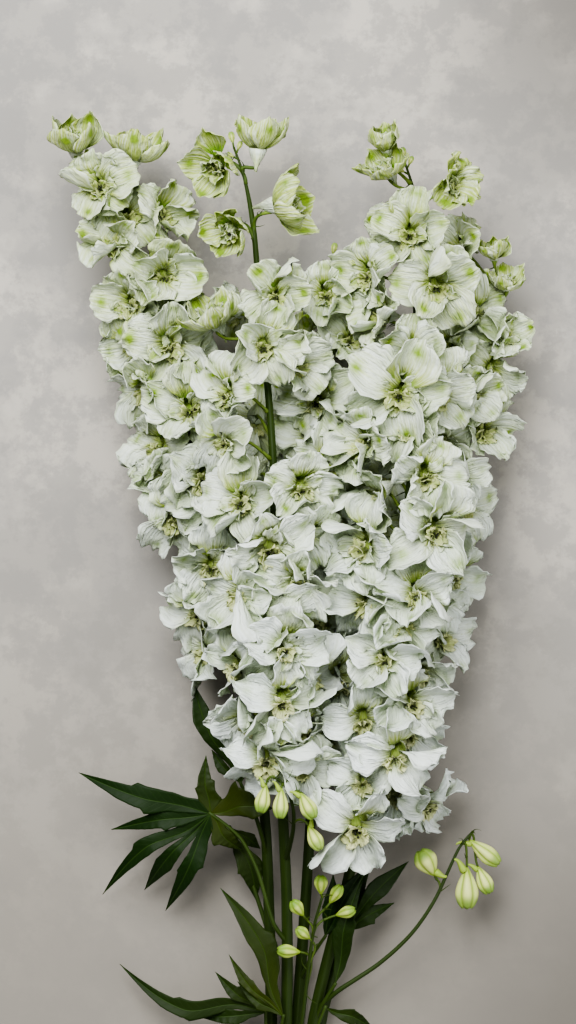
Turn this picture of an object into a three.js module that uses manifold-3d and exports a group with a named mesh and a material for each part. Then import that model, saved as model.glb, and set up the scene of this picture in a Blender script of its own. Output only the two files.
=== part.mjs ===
// A cut bunch of white delphiniums, lying on its back. Millimetres, +Z up off the surface, +Y towards the tips.
import * as THREE from 'three';
import { mergeVertices } from 'three/addons/utils/BufferGeometryUtils.js';
import Module from 'manifold-3d';

const wasm = await Module();
wasm.setup();

// Driving dimensions
const CUT_END_Y = -160; // cut ends of the stems
const TIE_Y = -118; // middle of the tie
const TIE_WIDTH = 14;
const TIE_THICKNESS = 2.8;
const STEM_RADIUS = 4.3; // at the cut end
const TIP_RADIUS = 1.5; // of the rachis at the top of a spike
const CORE_WALL = 2.8; // green sleeve round the rachis that the pedicels grow from
const SEAT_GAP = 0.4; // clearance kept between neighbouring pieces
const SEPAL_THICKNESS = 1.1;
const LEAF_THICKNESS = 0.9;
const PEDICEL_RADIUS = 1.3;
const BLOOM_REACH = 25; // from the rachis to the throat of a bloom
const LEAST_OUT = 0.5; // how far even a bloom at the side stands out in front, against its reach
const TURN_OUT = 0.5; // how far a bloom at the side faces outwards, against its place
const CUP_RISE = 1.4; // how far a cup points up the spike, against how far it points outwards
const PEDICEL_RISE = 13; // how far a pedicel climbs from the rachis to its bloom
const FULLNESS = 1.1; // open sepals against the lengths listed below
const NOTCH = 0.7; // from the throat to the notch between two sepals, against their length
const DROOPING_NOTCH = 0.5;
const DROOPING_ANGLE = 95; // blooms that open wider than this hang
const OPEN_ANGLE = 60; // blooms that open less than this are cups
const CUP_NECK = 11; // from the throat of a loose cup down to its pedicel
const CUP_SEED = 300;
const SEEDS_PER_SPIKE = 40;
const SPIKE_TOP_Y = 640;
const STEM_STEPS = 13;
const STEM_SIDES = 5;
const SLAB = 1200; // wider than the bunch, for blocks that cut it level
const TIE_INNER_WIDTH = 32.4; // at the bottom
const TIE_TOP_WIDTH = 23; // inside, at the top
const TIE_INNER_HEIGHT = 20.8;
const TIE_CORNER = 3.6; // slant of the band at its corners
const LEAF_FOLD = 0.12; // how far a lobe's edges stand above its midrib, against its width
// Outline of a lobe, as [along the midrib, reach of the left edge, reach of the right edge] against its width
const LOBE_OUTLINE = [[0.36, 0.5, 0.34], [0.52, 0.28, 0.5], [0.74, 0.36, 0.2], [1, 0.03, 0.03]];
const LOBE_FREE_ANGLE = 0.6; // room beside the first and the last lobe
const NOTCH_DEPTH = 0.32; // from the stalk to a notch between lobes, against the shorter lobe beside it
const OUTER_NOTCH_DEPTH = 0.17; // the same beside the first and the last lobe
const STALK_ROOT = 1.5; // how far a stalk runs into its blade

// Colours and finishes
const WHITE = new THREE.MeshStandardMaterial({ color: 0xf4f6ee, roughness: 0.62, metalness: 0 });
const GREEN_WHITE = new THREE.MeshStandardMaterial({ color: 0xdfe8b8, roughness: 0.6, metalness: 0 });
const STEM_GREEN = new THREE.MeshStandardMaterial({ color: 0x35522c, roughness: 0.58, metalness: 0 });
const LEAF_GREEN = new THREE.MeshStandardMaterial({ color: 0x1f4722, roughness: 0.5, metalness: 0 });
const BUD_GREEN = new THREE.MeshStandardMaterial({ color: 0xc9d58c, roughness: 0.55, metalness: 0 });
const TIE_BEIGE = new THREE.MeshStandardMaterial({ color: 0xb7a077, roughness: 0.85, metalness: 0 });

// Each spike: the line of its stem from the cut end to the tip, as [x, y, z], the y where its head begins and
// ends, and its blooms as [x, y, sepal length, opening angle]. The first in the list is the front one.
const SPIKES = {
  middle: {
    line: [[-5.2, CUT_END_Y, 17.2], [-5.2, TIE_Y, 17.2], [-1, 0, 27], [-1, 87, 42], [-6, 192, 72], [-9, 297, 88],
      [-10, 388, 88], [-14, 444, 84], [-21, 519, 72], [-24, 556, 70], [-31, 594, 68], [-38, 614, 66]],
    head: [168, 512],
    blooms: [[-9, 508, 24, 72], [-50, 487, 26, 56], [-18, 474, 26, 78], [-39, 441, 24, 82], [-41, 408, 24, 84],
      [-31, 366, 28, 84], [8, 376, 26, 84], [-13, 336, 29, 88], [-30, 302, 27, 86], [5, 312, 25, 86],
      [-3, 266, 29, 88], [-32, 253, 24, 92], [-5, 230, 28, 98], [-15, 191, 30, 104]],
    backs: [[-34, 498, 22, 74], [4, 462, 25, 78]],
  },
  right: {
    line: [[5.2, CUT_END_Y, 17.2], [5.2, TIE_Y, 17.2], [19, 0, 27], [40, 87, 42], [61, 192, 74], [75, 297, 88],
      [85, 381, 88], [91, 472, 78], [87, 552, 64], [90, 576, 62], [82, 604, 62]],
    head: [140, 592],
    blooms: [[70, 593, 22, 52], [112, 584, 24, 60], [85, 552, 26, 76], [58, 523, 25, 74], [102, 517, 28, 78],
      [68, 492, 23, 78], [77, 441, 33, 86], [56, 405, 27, 84], [93, 384, 26, 84], [97, 347, 30, 86],
      [55, 336, 31, 86], [88, 303, 26, 88], [67, 258, 25, 88], [84, 228, 26, 90], [74, 192, 30, 98],
      [68, 611, 19, 32], [47, 143, 33, 104]],
    backs: [[76, 560, 20, 66], [104, 524, 24, 74]],
  },
  back: {
    line: [[0, CUT_END_Y, 7.6], [0, TIE_Y, 7.6], [7, 0, 13], [13, 87, 23], [19, 190, 33], [24, 297, 38],
      [29, 416, 40], [27, 470, 42], [31, 538, 46]],
    head: [182, 530],
    blooms: [[26, 511, 24, 70], [11, 484, 18, 48], [42, 479, 22, 74], [21, 437, 26, 82], [30, 391, 26, 84],
      [33, 353, 27, 86], [24, 290, 28, 88], [33, 243, 29, 92], [26, 196, 32, 100]],
    backs: [[36, 496, 23, 76], [14, 444, 26, 82], [36, 272, 29, 91], [10, 214, 29, 96]],
  },
  left: {
    line: [[-10.5, CUT_END_Y, 7.6], [-10.5, TIE_Y, 7.6], [-12, 0, 15], [-14, 87, 23], [-18, 157, 31],
      [-30, 227, 37.6], [-44, 297, 42.6], [-62, 381, 43.6], [-83, 465, 40.6], [-104, 535, 39.6],
      [-131, 589, 40.6], [-146, 610, 43]],
    head: [238, 604],
    blooms: [[-149, 612, 27, 34], [-107, 606, 29, 56], [-131, 587, 26, 74], [-92, 567, 25, 72],
      [-121, 547, 25, 78], [-88, 525, 29, 82], [-109, 505, 26, 80], [-84, 477, 30, 84], [-97, 446, 26, 84],
      [-69, 430, 29, 84], [-60, 384, 29, 86], [-77, 354, 26, 88], [-54, 322, 28, 88], [-62, 290, 25, 92]],
    backs: [[-134, 588, 21, 68], [-103, 498, 26, 81], [-76, 396, 27, 86], [-50, 282, 28, 93]],
  },
  far_right: {
    line: [[10.5, CUT_END_Y, 7.6], [10.5, TIE_Y, 7.6], [25, 0, 13], [50, 87, 24], [72, 171, 32],
      [83, 241, 36.6], [94, 325, 38.6], [112, 402, 37.6], [132, 467, 36.6], [144, 500, 36.6], [149, 524, 38]],
    head: [150, 522],
    blooms: [[123, 543, 24, 64], [154, 516, 19, 54], [153, 482, 21, 64], [117, 473, 22, 76], [128, 440, 22, 80],
      [108, 410, 23, 82], [117, 384, 22, 84], [105, 342, 26, 86], [99, 296, 26, 88], [91, 250, 25, 90],
      [84, 206, 25, 94], [97, 154, 26, 104], [145, 537, 17, 34]],
    backs: [[142, 516, 16, 58], [140, 458, 21, 74], [92, 322, 26, 88], [86, 262, 26, 92], [70, 206, 26, 97]],
  },
};

// Loose cups on the bare top of the middle spike: [x, y, z, sepal length, opening angle, facing x, y, z, foot y].
const LOOSE_CUPS = [
  [-21, 612, 72, 28, 38, 0.1, 1, 0.15, 598],
  [-48, 600, 78, 26, 54, -0.45, -0.3, 0.8, 588],
  [-8, 569, 82, 30, 50, 0.9, 0.25, 0.35, 553],
  [-38, 555, 86, 23, 52, -0.45, -0.35, 0.8, 541],
];

// Leaves: the stem each grows on and the y of its foot, its stalk as [x, y, z], and its lobes as
// [x, y, z of the tip, width, sag of the midrib]
const LEAVES = {
  leaf_big_left: {
    on: 'middle', footY: 52, stalk: [[-10, 66, 44], [-20, 100, 46], [-34, 128, 46], [-56, 146, 49]],
    lobes: [[-11, 150, 60, 34, 4], [-58, 186, 46, 14, 3], [-149, 173, 34, 19, 7], [-126, 132, 30, 15, 6],
      [-133, 84, 16, 15, 12], [-103, 87, 14, 21, 12], [-88, 72, 14, 17, 10], [-33, 118, 34, 19, 3]],
  },
  leaf_upper_left: {
    on: 'left', footY: 112, stalk: [[-22, 140, 44], [-34, 168, 50]],
    lobes: [[-22, 206, 52, 16, 3], [-67, 238, 50, 25, 4], [-54, 190, 44, 13, 2]],
  },
  leaf_hanging: {
    on: 'left', footY: 54, stalk: [[-24, 88, 20], [-34, 118, 22], [-42, 134, 24]],
    lobes: [[-23, 80, 16, 25, 5], [-20, 117, 18, 15, 3]],
  },
  leaf_low_left: {
    on: 'middle', footY: -34, stalk: [[-6, -18, 34], [-3, 2, 42]],
    lobes: [[-48, 91, 36, 22, 6], [-42, 43, 32, 12, 3], [-36, 24, 32, 10, 3]],
  },
  leaf_bottom_left: {
    on: 'left', footY: -44, stalk: [[-15, -22, 22], [-16, 2, 24]],
    lobes: [[-52, 29, 20, 13, 3], [-121, 33, 10, 15, 10], [-64, -4, 16, 14, 4]],
  },
  leaf_right_dark: {
    on: 'back', footY: 22, stalk: [[18, 44, 34], [27, 58, 40]],
    lobes: [[56, 108, 46, 18, 6], [32, 102, 46, 16, 4]],
  },
  leaf_right_lobed: {
    on: 'far_right', footY: 34, stalk: [[35, 48, 30], [38, 60, 34]],
    lobes: [[76, 79, 24, 15, 4], [86, 109, 28, 21, 6], [60, 114, 32, 12, 3]],
  },
  leaf_right_long: {
    on: 'right', footY: -6, stalk: [[28, 14, 36], [34, 24, 40]],
    lobes: [[54, 104, 52, 15, 8]],
  },
  bract_low_right: {
    on: 'right', footY: -40, stalk: [[18, -16, 34], [27, 8, 40]],
    lobes: [[62, -12, 26, 12, 5]],
  },
};

// Sprays of buds: the stem each grows on and the y of its foot, its stalk, and its buds as
// [x, y, z, length, width, way the narrow end points x, y, z, where its pedicel leaves the stalk]
const SPRAYS = {
  buds_hanging: {
    on: 'middle', footY: 112, stalk: [[2, 128, 72], [4, 150, 94], [-2, 170, 106], [-9, 176, 110]],
    buds: [[-17, 162, 110, 19, 11, -0.2, -1, 0.1, 1], [-5, 159, 112, 20, 11, -0.05, -1, 0.1, 0.9],
      [13, 157, 110, 19, 12, 0.45, -0.85, 0.2, 0.72], [18, 134, 100, 18, 11, 0.4, -0.8, 0.3, 0.5]],
  },
  buds_young: {
    on: 'middle', footY: -46, stalk: [[8, -14, 42], [13, 24, 52], [19, 70, 62], [24, 88, 66]],
    buds: [[23, 97, 68, 13, 10, 0, 1, 0.1, 1], [33, 90, 66, 15, 9, 0.5, 0.8, 0.2, 0.86],
      [40, 77, 62, 14, 9, 0.9, 0.3, 0.2, 0.78], [7, 80, 64, 13, 10, -0.6, 0.8, 0.2, 0.8],
      [11, 62, 62, 12, 9, -0.7, 0.6, 0.3, 0.62], [1, 49, 56, 16, 10, -0.95, 0.1, 0.2, 0.5]],
  },
  side_shoot: {
    on: 'right', footY: 2, stalk: [[35, 18, 38], [62, 36, 40], [88, 60, 42], [106, 87, 42], [122, 121, 40],
      [131, 131, 38]],
    buds: [[99, 109, 42, 20, 17, -0.5, 0.85, 0.1, 0.72], [139, 117, 36, 26, 13, 0.75, -0.6, 0, 1],
      [127, 92, 38, 28, 17, 0, -1, 0, 0.93], [139, 97, 34, 20, 12, 0.4, -0.9, 0, 0.97]],
  },
};

// Small repeatable draw, the same for the same number, from 0 to 1
function draw(number) {
  const wave = Math.sin(number * 12.9898) * 43758.5453;
  return wave - Math.floor(wave);
}

function vector(x, y, z) {
  return new THREE.Vector3(x, y, z);
}

// Closed solid from a list of points and of triangles
function solidFrom(points, faces) {
  const vertProperties = new Float32Array(points.flatMap((point) => [point.x, point.y, point.z]));
  const triVerts = new Uint32Array(faces.flat());
  return new wasm.Manifold(new wasm.Mesh({ numProp: 3, vertProperties, triVerts }));
}

function solidOf(geometry) {
  const bare = geometry.clone();
  bare.deleteAttribute('normal');
  bare.deleteAttribute('uv');
  const merged = mergeVertices(bare, 1e-4);
  return new wasm.Manifold(new wasm.Mesh({
    numProp: 3,
    vertProperties: new Float32Array(merged.attributes.position.array),
    triVerts: new Uint32Array(merged.index.array),
  }));
}

function joined(solids) {
  return solids.reduce((sum, solid) => sum.add(solid));
}

// The biggest body of a solid, without the scraps that a cut leaves
function withoutScraps(solid) {
  const bodies = solid.decompose();
  return bodies.reduce((best, body) => (body.volume() > best.volume() ? body : best));
}

// The part of a solid above the surface that the bunch lies on
function aboveSurface(solid) {
  const below = new THREE.BoxGeometry(SLAB, 2 * SLAB, SLAB);
  below.translate(0, 0, -SLAB / 2);
  return solid.subtract(solidOf(below));
}

function meshOf(name, solid, material) {
  const { vertProperties, triVerts, numProp } = solid.getMesh();
  const geometry = new THREE.BufferGeometry();
  const positions = new Float32Array((vertProperties.length / numProp) * 3);
  for (let i = 0; i < positions.length / 3; i += 1) {
    for (let k = 0; k < 3; k += 1) positions[3 * i + k] = vertProperties[numProp * i + k];
  }
  geometry.setAttribute('position', new THREE.BufferAttribute(positions, 3));
  geometry.setIndex(new THREE.BufferAttribute(new Uint32Array(triVerts), 1));
  geometry.computeVertexNormals();
  const mesh = new THREE.Mesh(geometry, material);
  mesh.name = name;
  return mesh;
}

function lineOf(points) {
  return new THREE.CatmullRomCurve3(points.map(([x, y, z]) => vector(x, y, z)), false, 'centripetal');
}

// Round section swept along a curve, with a radius that changes from its start to its end
function taperedTube(curve, steps, sides, radiusAt) {
  const section = new THREE.Shape();
  for (let i = 0; i < sides; i += 1) {
    const angle = (2 * Math.PI * i) / sides;
    section[i ? 'lineTo' : 'moveTo'](Math.cos(angle), Math.sin(angle));
  }
  const geometry = new THREE.ExtrudeGeometry(section, { steps, extrudePath: curve, bevelEnabled: false });
  const centres = curve.getSpacedPoints(steps);
  const position = geometry.attributes.position;
  const corner = new THREE.Vector3();
  for (let i = 0; i < position.count; i += 1) {
    corner.fromBufferAttribute(position, i);
    let nearest = 0;
    centres.forEach((centre, k) => {
      if (corner.distanceToSquared(centre) < corner.distanceToSquared(centres[nearest])) nearest = k;
    });
    corner.sub(centres[nearest]).multiplyScalar(radiusAt(nearest / steps)).add(centres[nearest]);
    position.setXYZ(i, corner.x, corner.y, corner.z);
  }
  return solidOf(geometry);
}

// The point of a stem's middle line whose y is given; the line climbs in y all the way
function pointAtY(centres, y) {
  const next = centres.findIndex((centre, i) => i > 0 && centre.y >= y);
  const above = next < 0 ? centres.length - 1 : next;
  const below = centres[above - 1];
  return below.clone().lerp(centres[above], (y - below.y) / (centres[above].y - below.y));
}

// Moves every point outwards by a distance, along the mean normal of the faces round it
function swollen(points, faces, distance) {
  const normals = points.map(() => vector(0, 0, 0));
  faces.forEach(([a, b, c]) => {
    const normal = points[b].clone().sub(points[a]).cross(points[c].clone().sub(points[a])).normalize();
    [a, b, c].forEach((corner) => normals[corner].add(normal));
  });
  return points.map((point, i) => point.clone().addScaledVector(normals[i].normalize(), distance));
}

// One bloom as a closed shell: five sepals with notches between them, a tuft in the throat, and the funnel of the
// spur, which runs back into its pedicel and down to the foot. Sepals are blunt, or pointed on a plain bloom.
function bloomShape({ centre, facing, size, opening, foot, seed, notch, rich, plain = false }) {
  const toWorld = new THREE.Quaternion().setFromUnitVectors(vector(0, 0, 1), facing);
  const spin = draw(seed) * 2 * Math.PI;
  const points = [];
  const place = (radius, height, angle) => {
    const local = vector(radius * Math.cos(angle + spin), radius * Math.sin(angle + spin), height);
    points.push(local.applyQuaternion(toWorld).add(centre));
    return points.length - 1;
  };
  const petalAngle = (2 * Math.PI) / 5;
  const throat = 0.2 * size;
  const calyx = 0.12 * size;
  const top = { inner: [], rim: [] };
  const under = { inner: [], rim: [] };
  const tuft = [];
  for (let i = 0; i < 5; i += 1) {
    const middle = i * petalAngle;
    const length = size * (0.92 + 0.16 * draw(seed + 1.7 * i));
    const tilt = THREE.MathUtils.degToRad(opening + 14 * (draw(seed + 2.3 * i + 5) - 0.5));
    const along = [Math.sin(tilt), Math.cos(tilt)];
    const back = [Math.cos(tilt) * SEPAL_THICKNESS, -Math.sin(tilt) * SEPAL_THICKNESS];
    const curl = 0.12 * size * (draw(seed + 3.1 * i + 9) - 0.35);
    top.inner.push(place(throat, 0, middle));
    under.inner.push(place(calyx + back[0], back[1] - 0.6, middle));
    const blade = plain ? [[0, 1, 0.4 * curl]] : [[-0.3, 1, curl], [0.3, 1, -0.6 * curl]];
    const rim = [...blade, [petalAngle / 2, notch, 0.05 * size]];
    rim.forEach(([turn, reach, lift]) => {
      const radius = throat + (length * reach - throat) * along[0] + lift * along[1] * 0.5;
      const height = (length * reach - throat) * along[1] + lift * along[0];
      top.rim.push(place(radius, height, middle + turn));
      under.rim.push(place(radius + back[0], height + back[1], middle + turn));
    });
    if (rich) tuft.push(place(0.17 * size, 0.2 * size, middle + petalAngle / 2));
  }
  const heart = place(0, (rich ? 0.1 : 0.18) * size, 0);
  const faces = [];
  const corners = top.rim.length;
  const perSepal = corners / 5;
  for (let i = 0; i < 5; i += 1) {
    const next = (i + 1) % 5;
    const border = Array.from({ length: perSepal + 1 }, (_, k) => (perSepal * i + k + corners - 1) % corners);
    [top, under].forEach(({ inner, rim }, side) => {
      const fan = border.slice(1).map((corner, k) => [inner[i], rim[border[k]], rim[corner]]);
      fan.push([inner[i], rim[border[perSepal]], inner[next]]);
      fan.forEach(([a, b, c]) => faces.push(side ? [a, c, b] : [a, b, c]));
    });
    if (rich) {
      faces.push([top.inner[i], top.inner[next], tuft[i]], [tuft[i], top.inner[next], tuft[next]]);
      faces.push([tuft[i], tuft[next], heart]);
    } else {
      faces.push([top.inner[i], top.inner[next], heart]);
    }
  }
  for (let j = 0; j < corners; j += 1) {
    const k = (j + 1) % corners;
    faces.push([top.rim[k], top.rim[j], under.rim[j]], [top.rim[k], under.rim[j], under.rim[k]]);
  }
  const run = foot.clone().sub(centre).normalize();
  const bend = new THREE.Quaternion().setFromUnitVectors(facing.clone().negate(), run);
  const end = [];
  for (let i = 0; i < 5; i += 1) {
    const angle = i * petalAngle + spin;
    const corner = vector(PEDICEL_RADIUS * Math.cos(angle), PEDICEL_RADIUS * Math.sin(angle), 0);
    end.push(points.push(corner.applyQuaternion(toWorld).applyQuaternion(bend).add(foot)) - 1);
  }
  for (let i = 0; i < 5; i += 1) {
    const next = (i + 1) % 5;
    faces.push([under.inner[next], under.inner[i], end[i]], [under.inner[next], end[i], end[next]]);
  }
  faces.push([end[0], end[4], end[3]], [end[0], end[3], end[2]], [end[0], end[2], end[1]]);
  return { points, faces };
}

// Where each bloom of a spike stands and how it faces, from its place in front of or behind the rachis
function bloomPlaces(spike, centres, seedStart) {
  const places = [];
  [[spike.blooms, 1], [spike.backs, -1]].forEach(([list, side]) => {
    list.forEach(([x, y, length, opening]) => {
      const size = length * (opening > OPEN_ANGLE ? FULLNESS : 1);
      const seed = seedStart + places.length;
      const axis = pointAtY(centres, Math.min(y, spike.head[1]));
      const across = x - axis.x;
      const reach = Math.max(BLOOM_REACH * (0.7 + size / 90), Math.abs(across) + 1);
      const out = side * Math.max(Math.sqrt(reach * reach - across * across), LEAST_OUT * reach);
      const centre = vector(x, y, axis.z + out);
      const rise = opening < OPEN_ANGLE ? CUP_RISE : THREE.MathUtils.mapLinear(opening, 60, 105, 0.17, -0.4);
      const facing = vector(TURN_OUT * across, rise * reach, out).normalize();
      const footY = THREE.MathUtils.clamp(y - PEDICEL_RISE, spike.head[0] + 4, spike.head[1] - 3);
      const foot = pointAtY(centres, footY);
      const outwards = centre.clone().sub(foot).setY(0).normalize();
      foot.addScaledVector(outwards, rachisRadius(footY) + SEAT_GAP + 0.45 * CORE_WALL);
      const notch = opening > DROOPING_ANGLE ? DROOPING_NOTCH : NOTCH;
      const rich = side > 0 && opening > OPEN_ANGLE;
      places.push({ centre, facing, size, opening, foot, seed, notch, rich, plain: side < 0 });
    });
  });
  return places;
}

function stemRadius(along) {
  return THREE.MathUtils.lerp(STEM_RADIUS, TIP_RADIUS, along ** 1.4);
}

function rachisRadius(y) {
  return stemRadius((y - CUT_END_Y) / (SPIKE_TOP_Y - CUT_END_Y));
}

// Tube round the middle line of a stem, thicker than the stem by a wall
function sleeve(name, wall) {
  return taperedTube(curves[name], STEM_STEPS, STEM_SIDES, (along) => stemRadius(along) + wall);
}

const curves = {};
const middles = {};
const stems = {};
for (const [name, spike] of Object.entries(SPIKES)) {
  curves[name] = lineOf(spike.line);
  middles[name] = curves[name].getSpacedPoints(STEM_STEPS);
  stems[name] = sleeve(name, 0);
}
const roomOfAllStems = joined(Object.keys(SPIKES).map((name) => sleeve(name, SEAT_GAP)));
const group = new THREE.Group();

// The core of a head: a sleeve round the rachis from the lowest bloom to the highest
function headCore(name, grow) {
  const [low, high] = SPIKES[name].head;
  const slab = new THREE.BoxGeometry(SLAB, high - low + 2 * grow, SLAB);
  slab.translate(0, (low + high) / 2, 0);
  return sleeve(name, CORE_WALL + grow).intersect(solidOf(slab));
}

// Heads, from the front spikes to the ones behind, each cut clear of those before it
let roomOfHeads = null;
Object.keys(SPIKES).forEach((name, order) => {
  const shapes = bloomPlaces(SPIKES[name], middles[name], 1 + SEEDS_PER_SPIKE * order).map(bloomShape);
  const blooms = shapes.map(({ points, faces }) => solidFrom(points, faces));
  const rooms = shapes.map(({ points, faces }) => solidFrom(swollen(points, faces, SEAT_GAP), faces));
  let head = joined([headCore(name, 0), ...blooms]).subtract(roomOfAllStems);
  if (roomOfHeads) head = head.subtract(roomOfHeads);
  head = withoutScraps(aboveSurface(head));
  group.add(meshOf(`head_${name}`, head, WHITE));
  const room = joined([headCore(name, SEAT_GAP), ...rooms]);
  roomOfHeads = roomOfHeads ? roomOfHeads.add(room) : room;
});

// Loose cups, each face to face with its pedicel, which is one with the rachis
const cupStalks = [];
LOOSE_CUPS.forEach(([x, y, z, size, opening, fx, fy, fz, footY], i) => {
  const centre = vector(x, y, z);
  const facing = vector(fx, fy, fz).normalize();
  const base = centre.clone().addScaledVector(facing, -CUP_NECK);
  const place = { centre, facing, foot: base };
  const shape = bloomShape({ ...place, size, opening, seed: CUP_SEED + i, notch: NOTCH, rich: true });
  group.add(meshOf(`cup_${i + 1}`, solidFrom(shape.points, shape.faces), GREEN_WHITE));
  const rachis = pointAtY(middles.middle, footY);
  const seat = base.clone().addScaledVector(facing, -SEAT_GAP);
  const bend = seat.clone().addScaledVector(facing, -0.4 * seat.distanceTo(rachis));
  const line = new THREE.CatmullRomCurve3([rachis, bend, seat]);
  cupStalks.push(taperedTube(line, 3, 4, () => PEDICEL_RADIUS));
});
stems.middle = withoutScraps(joined([stems.middle, ...cupStalks]));
Object.keys(SPIKES).forEach((name) => {
  group.add(meshOf(`stem_${name}`, aboveSurface(stems[name]), STEM_GREEN));
});

// The blade of a palmate leaf: one thin shell of pointed lobes with toothed edges and notches between them, both
// faces alike. Its lobes are listed in the order of their angle round the end of the stalk.
function blade(base, lobes) {
  const tips = lobes.map(([x, y, z]) => vector(x, y, z));
  const runs = tips.map((tip) => tip.clone().sub(base));
  const angles = runs.map((run) => (Math.atan2(run.y, run.x) + 2 * Math.PI) % (2 * Math.PI));
  const gapAfter = (i) => (i + 1 < angles.length ? angles[i + 1] - angles[i] : LOBE_FREE_ANGLE);
  const notchAfter = (i) => {
    const length = Math.min(...[i, i + 1].filter((k) => runs[k]).map((k) => runs[k].length()));
    const angle = i < 0 ? angles[0] - LOBE_FREE_ANGLE : angles[i] + gapAfter(i) / 2;
    const depth = i < 0 || i === lobes.length - 1 ? OUTER_NOTCH_DEPTH : NOTCH_DEPTH;
    return base.clone().add(vector(Math.cos(angle), Math.sin(angle), 0).multiplyScalar(depth * length));
  };
  const upper = [base];
  const faces = [];
  let notch = upper.push(notchAfter(-1)) - 1;
  const border = [0, notch];
  lobes.forEach(([, , , width, sag], i) => {
    const side = vector(-runs[i].y, runs[i].x, 0).normalize();
    const edge = (along, reach, sign) => {
      const gap = sign > 0 ? gapAfter(i) : (i ? gapAfter(i - 1) : LOBE_FREE_ANGLE);
      const room = 0.85 * along * runs[i].length() * Math.tan(gap / 2);
      const point = base.clone().addScaledVector(runs[i], along);
      point.addScaledVector(side, sign * Math.min(reach * width, room));
      point.z += sag * Math.sin(Math.PI * along) + LEAF_FOLD * width * Math.min(1, 2 * reach);
      return upper.push(point) - 1;
    };
    const rim = [0, notch];
    LOBE_OUTLINE.forEach(([along, , right]) => rim.push(edge(along, right, -1)));
    [...LOBE_OUTLINE].reverse().forEach(([along, left]) => rim.push(edge(along, left, 1)));
    notch = upper.push(notchAfter(i)) - 1;
    rim.push(notch);
    border.push(...rim.slice(2));
    const middle = upper.push(base.clone().addScaledVector(runs[i], 0.5).add(vector(0, 0, sag))) - 1;
    rim.forEach((corner, k) => faces.push([middle, corner, rim[(k + 1) % rim.length]]));
  });
  const under = upper.length;
  const points = [...upper, ...upper.map((point) => point.clone().add(vector(0, 0, -LEAF_THICKNESS)))];
  faces.push(...faces.map(([p, q, r]) => [p + under, r + under, q + under]));
  border.forEach((corner, i) => {
    const next = border[(i + 1) % border.length];
    faces.push([next, corner, corner + under], [next, corner + under, next + under]);
  });
  return solidFrom(points, faces);
}

// A leaf: its stalk from the stem to the blade, and the blade
function leaf({ on, footY, stalk, lobes }) {
  const points = [pointAtY(middles[on], footY), ...stalk.map(([x, y, z]) => vector(x, y, z))];
  const line = new THREE.CatmullRomCurve3(points, false, 'centripetal');
  const stalkSolid = taperedTube(line, stalk.length + 2, 4, (t) => THREE.MathUtils.lerp(1.7, 1.2, t));
  const heading = line.getTangentAt(1);
  return stalkSolid.add(blade(points[points.length - 1].clone().addScaledVector(heading, -STALK_ROOT), lobes));
}

// Adds a leaf or a spray, cut clear of what is there already, so that its foot sits on the stem that carries it
let roomTaken = roomOfHeads.add(roomOfAllStems);
function addClear(name, solid, material) {
  const clear = withoutScraps(aboveSurface(solid.subtract(roomTaken)));
  group.add(meshOf(name, clear, material));
  const mesh = clear.getMesh();
  const points = [];
  const faces = [];
  for (let i = 0; i < mesh.vertProperties.length; i += mesh.numProp) {
    points.push(vector(...mesh.vertProperties.slice(i, i + 3)));
  }
  for (let i = 0; i < mesh.triVerts.length; i += 3) faces.push([...mesh.triVerts.slice(i, i + 3)]);
  roomTaken = roomTaken.add(solidFrom(swollen(points, faces, SEAT_GAP), faces));
}

// A grooved egg-shaped bud whose narrow end points along a direction
function bud(centre, length, width, direction) {
  const profile = [[0, -0.5], [0.44, -0.22], [0.46, 0.12], [0, 0.5]];
  const geometry = new THREE.LatheGeometry(profile.map(([r, h]) => new THREE.Vector2(r * width, h * length)), 5);
  geometry.applyQuaternion(new THREE.Quaternion().setFromUnitVectors(vector(0, 1, 0), direction));
  geometry.translate(centre.x, centre.y, centre.z);
  return solidOf(geometry);
}

// A spray: a thin stalk from a stem, with buds on arched pedicels
function budSpray({ on, footY, stalk, buds }) {
  const points = [pointAtY(middles[on], footY), ...stalk.map(([x, y, z]) => vector(x, y, z))];
  const line = new THREE.CatmullRomCurve3(points, false, 'centripetal');
  const parts = [taperedTube(line, stalk.length + 1, 3, (t) => THREE.MathUtils.lerp(2.1, 1.3, t))];
  buds.forEach(([x, y, z, length, width, dx, dy, dz, from]) => {
    const centre = vector(x, y, z);
    const direction = vector(dx, dy, dz).normalize();
    const neck = centre.clone().addScaledVector(direction, -0.42 * length);
    const start = line.getPointAt(from);
    const knee = neck.clone().addScaledVector(direction, -0.45 * start.distanceTo(neck));
    parts.push(bud(centre, length, width, direction));
    parts.push(taperedTube(new THREE.CatmullRomCurve3([start, knee, neck]), 2, 3, () => 1.1));
  });
  return joined(parts);
}

Object.entries(LEAVES).forEach(([name, plan]) => addClear(name, leaf(plan), LEAF_GREEN));
Object.entries(SPRAYS).forEach(([name, plan]) => addClear(name, budSpray(plan), BUD_GREEN));

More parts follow.
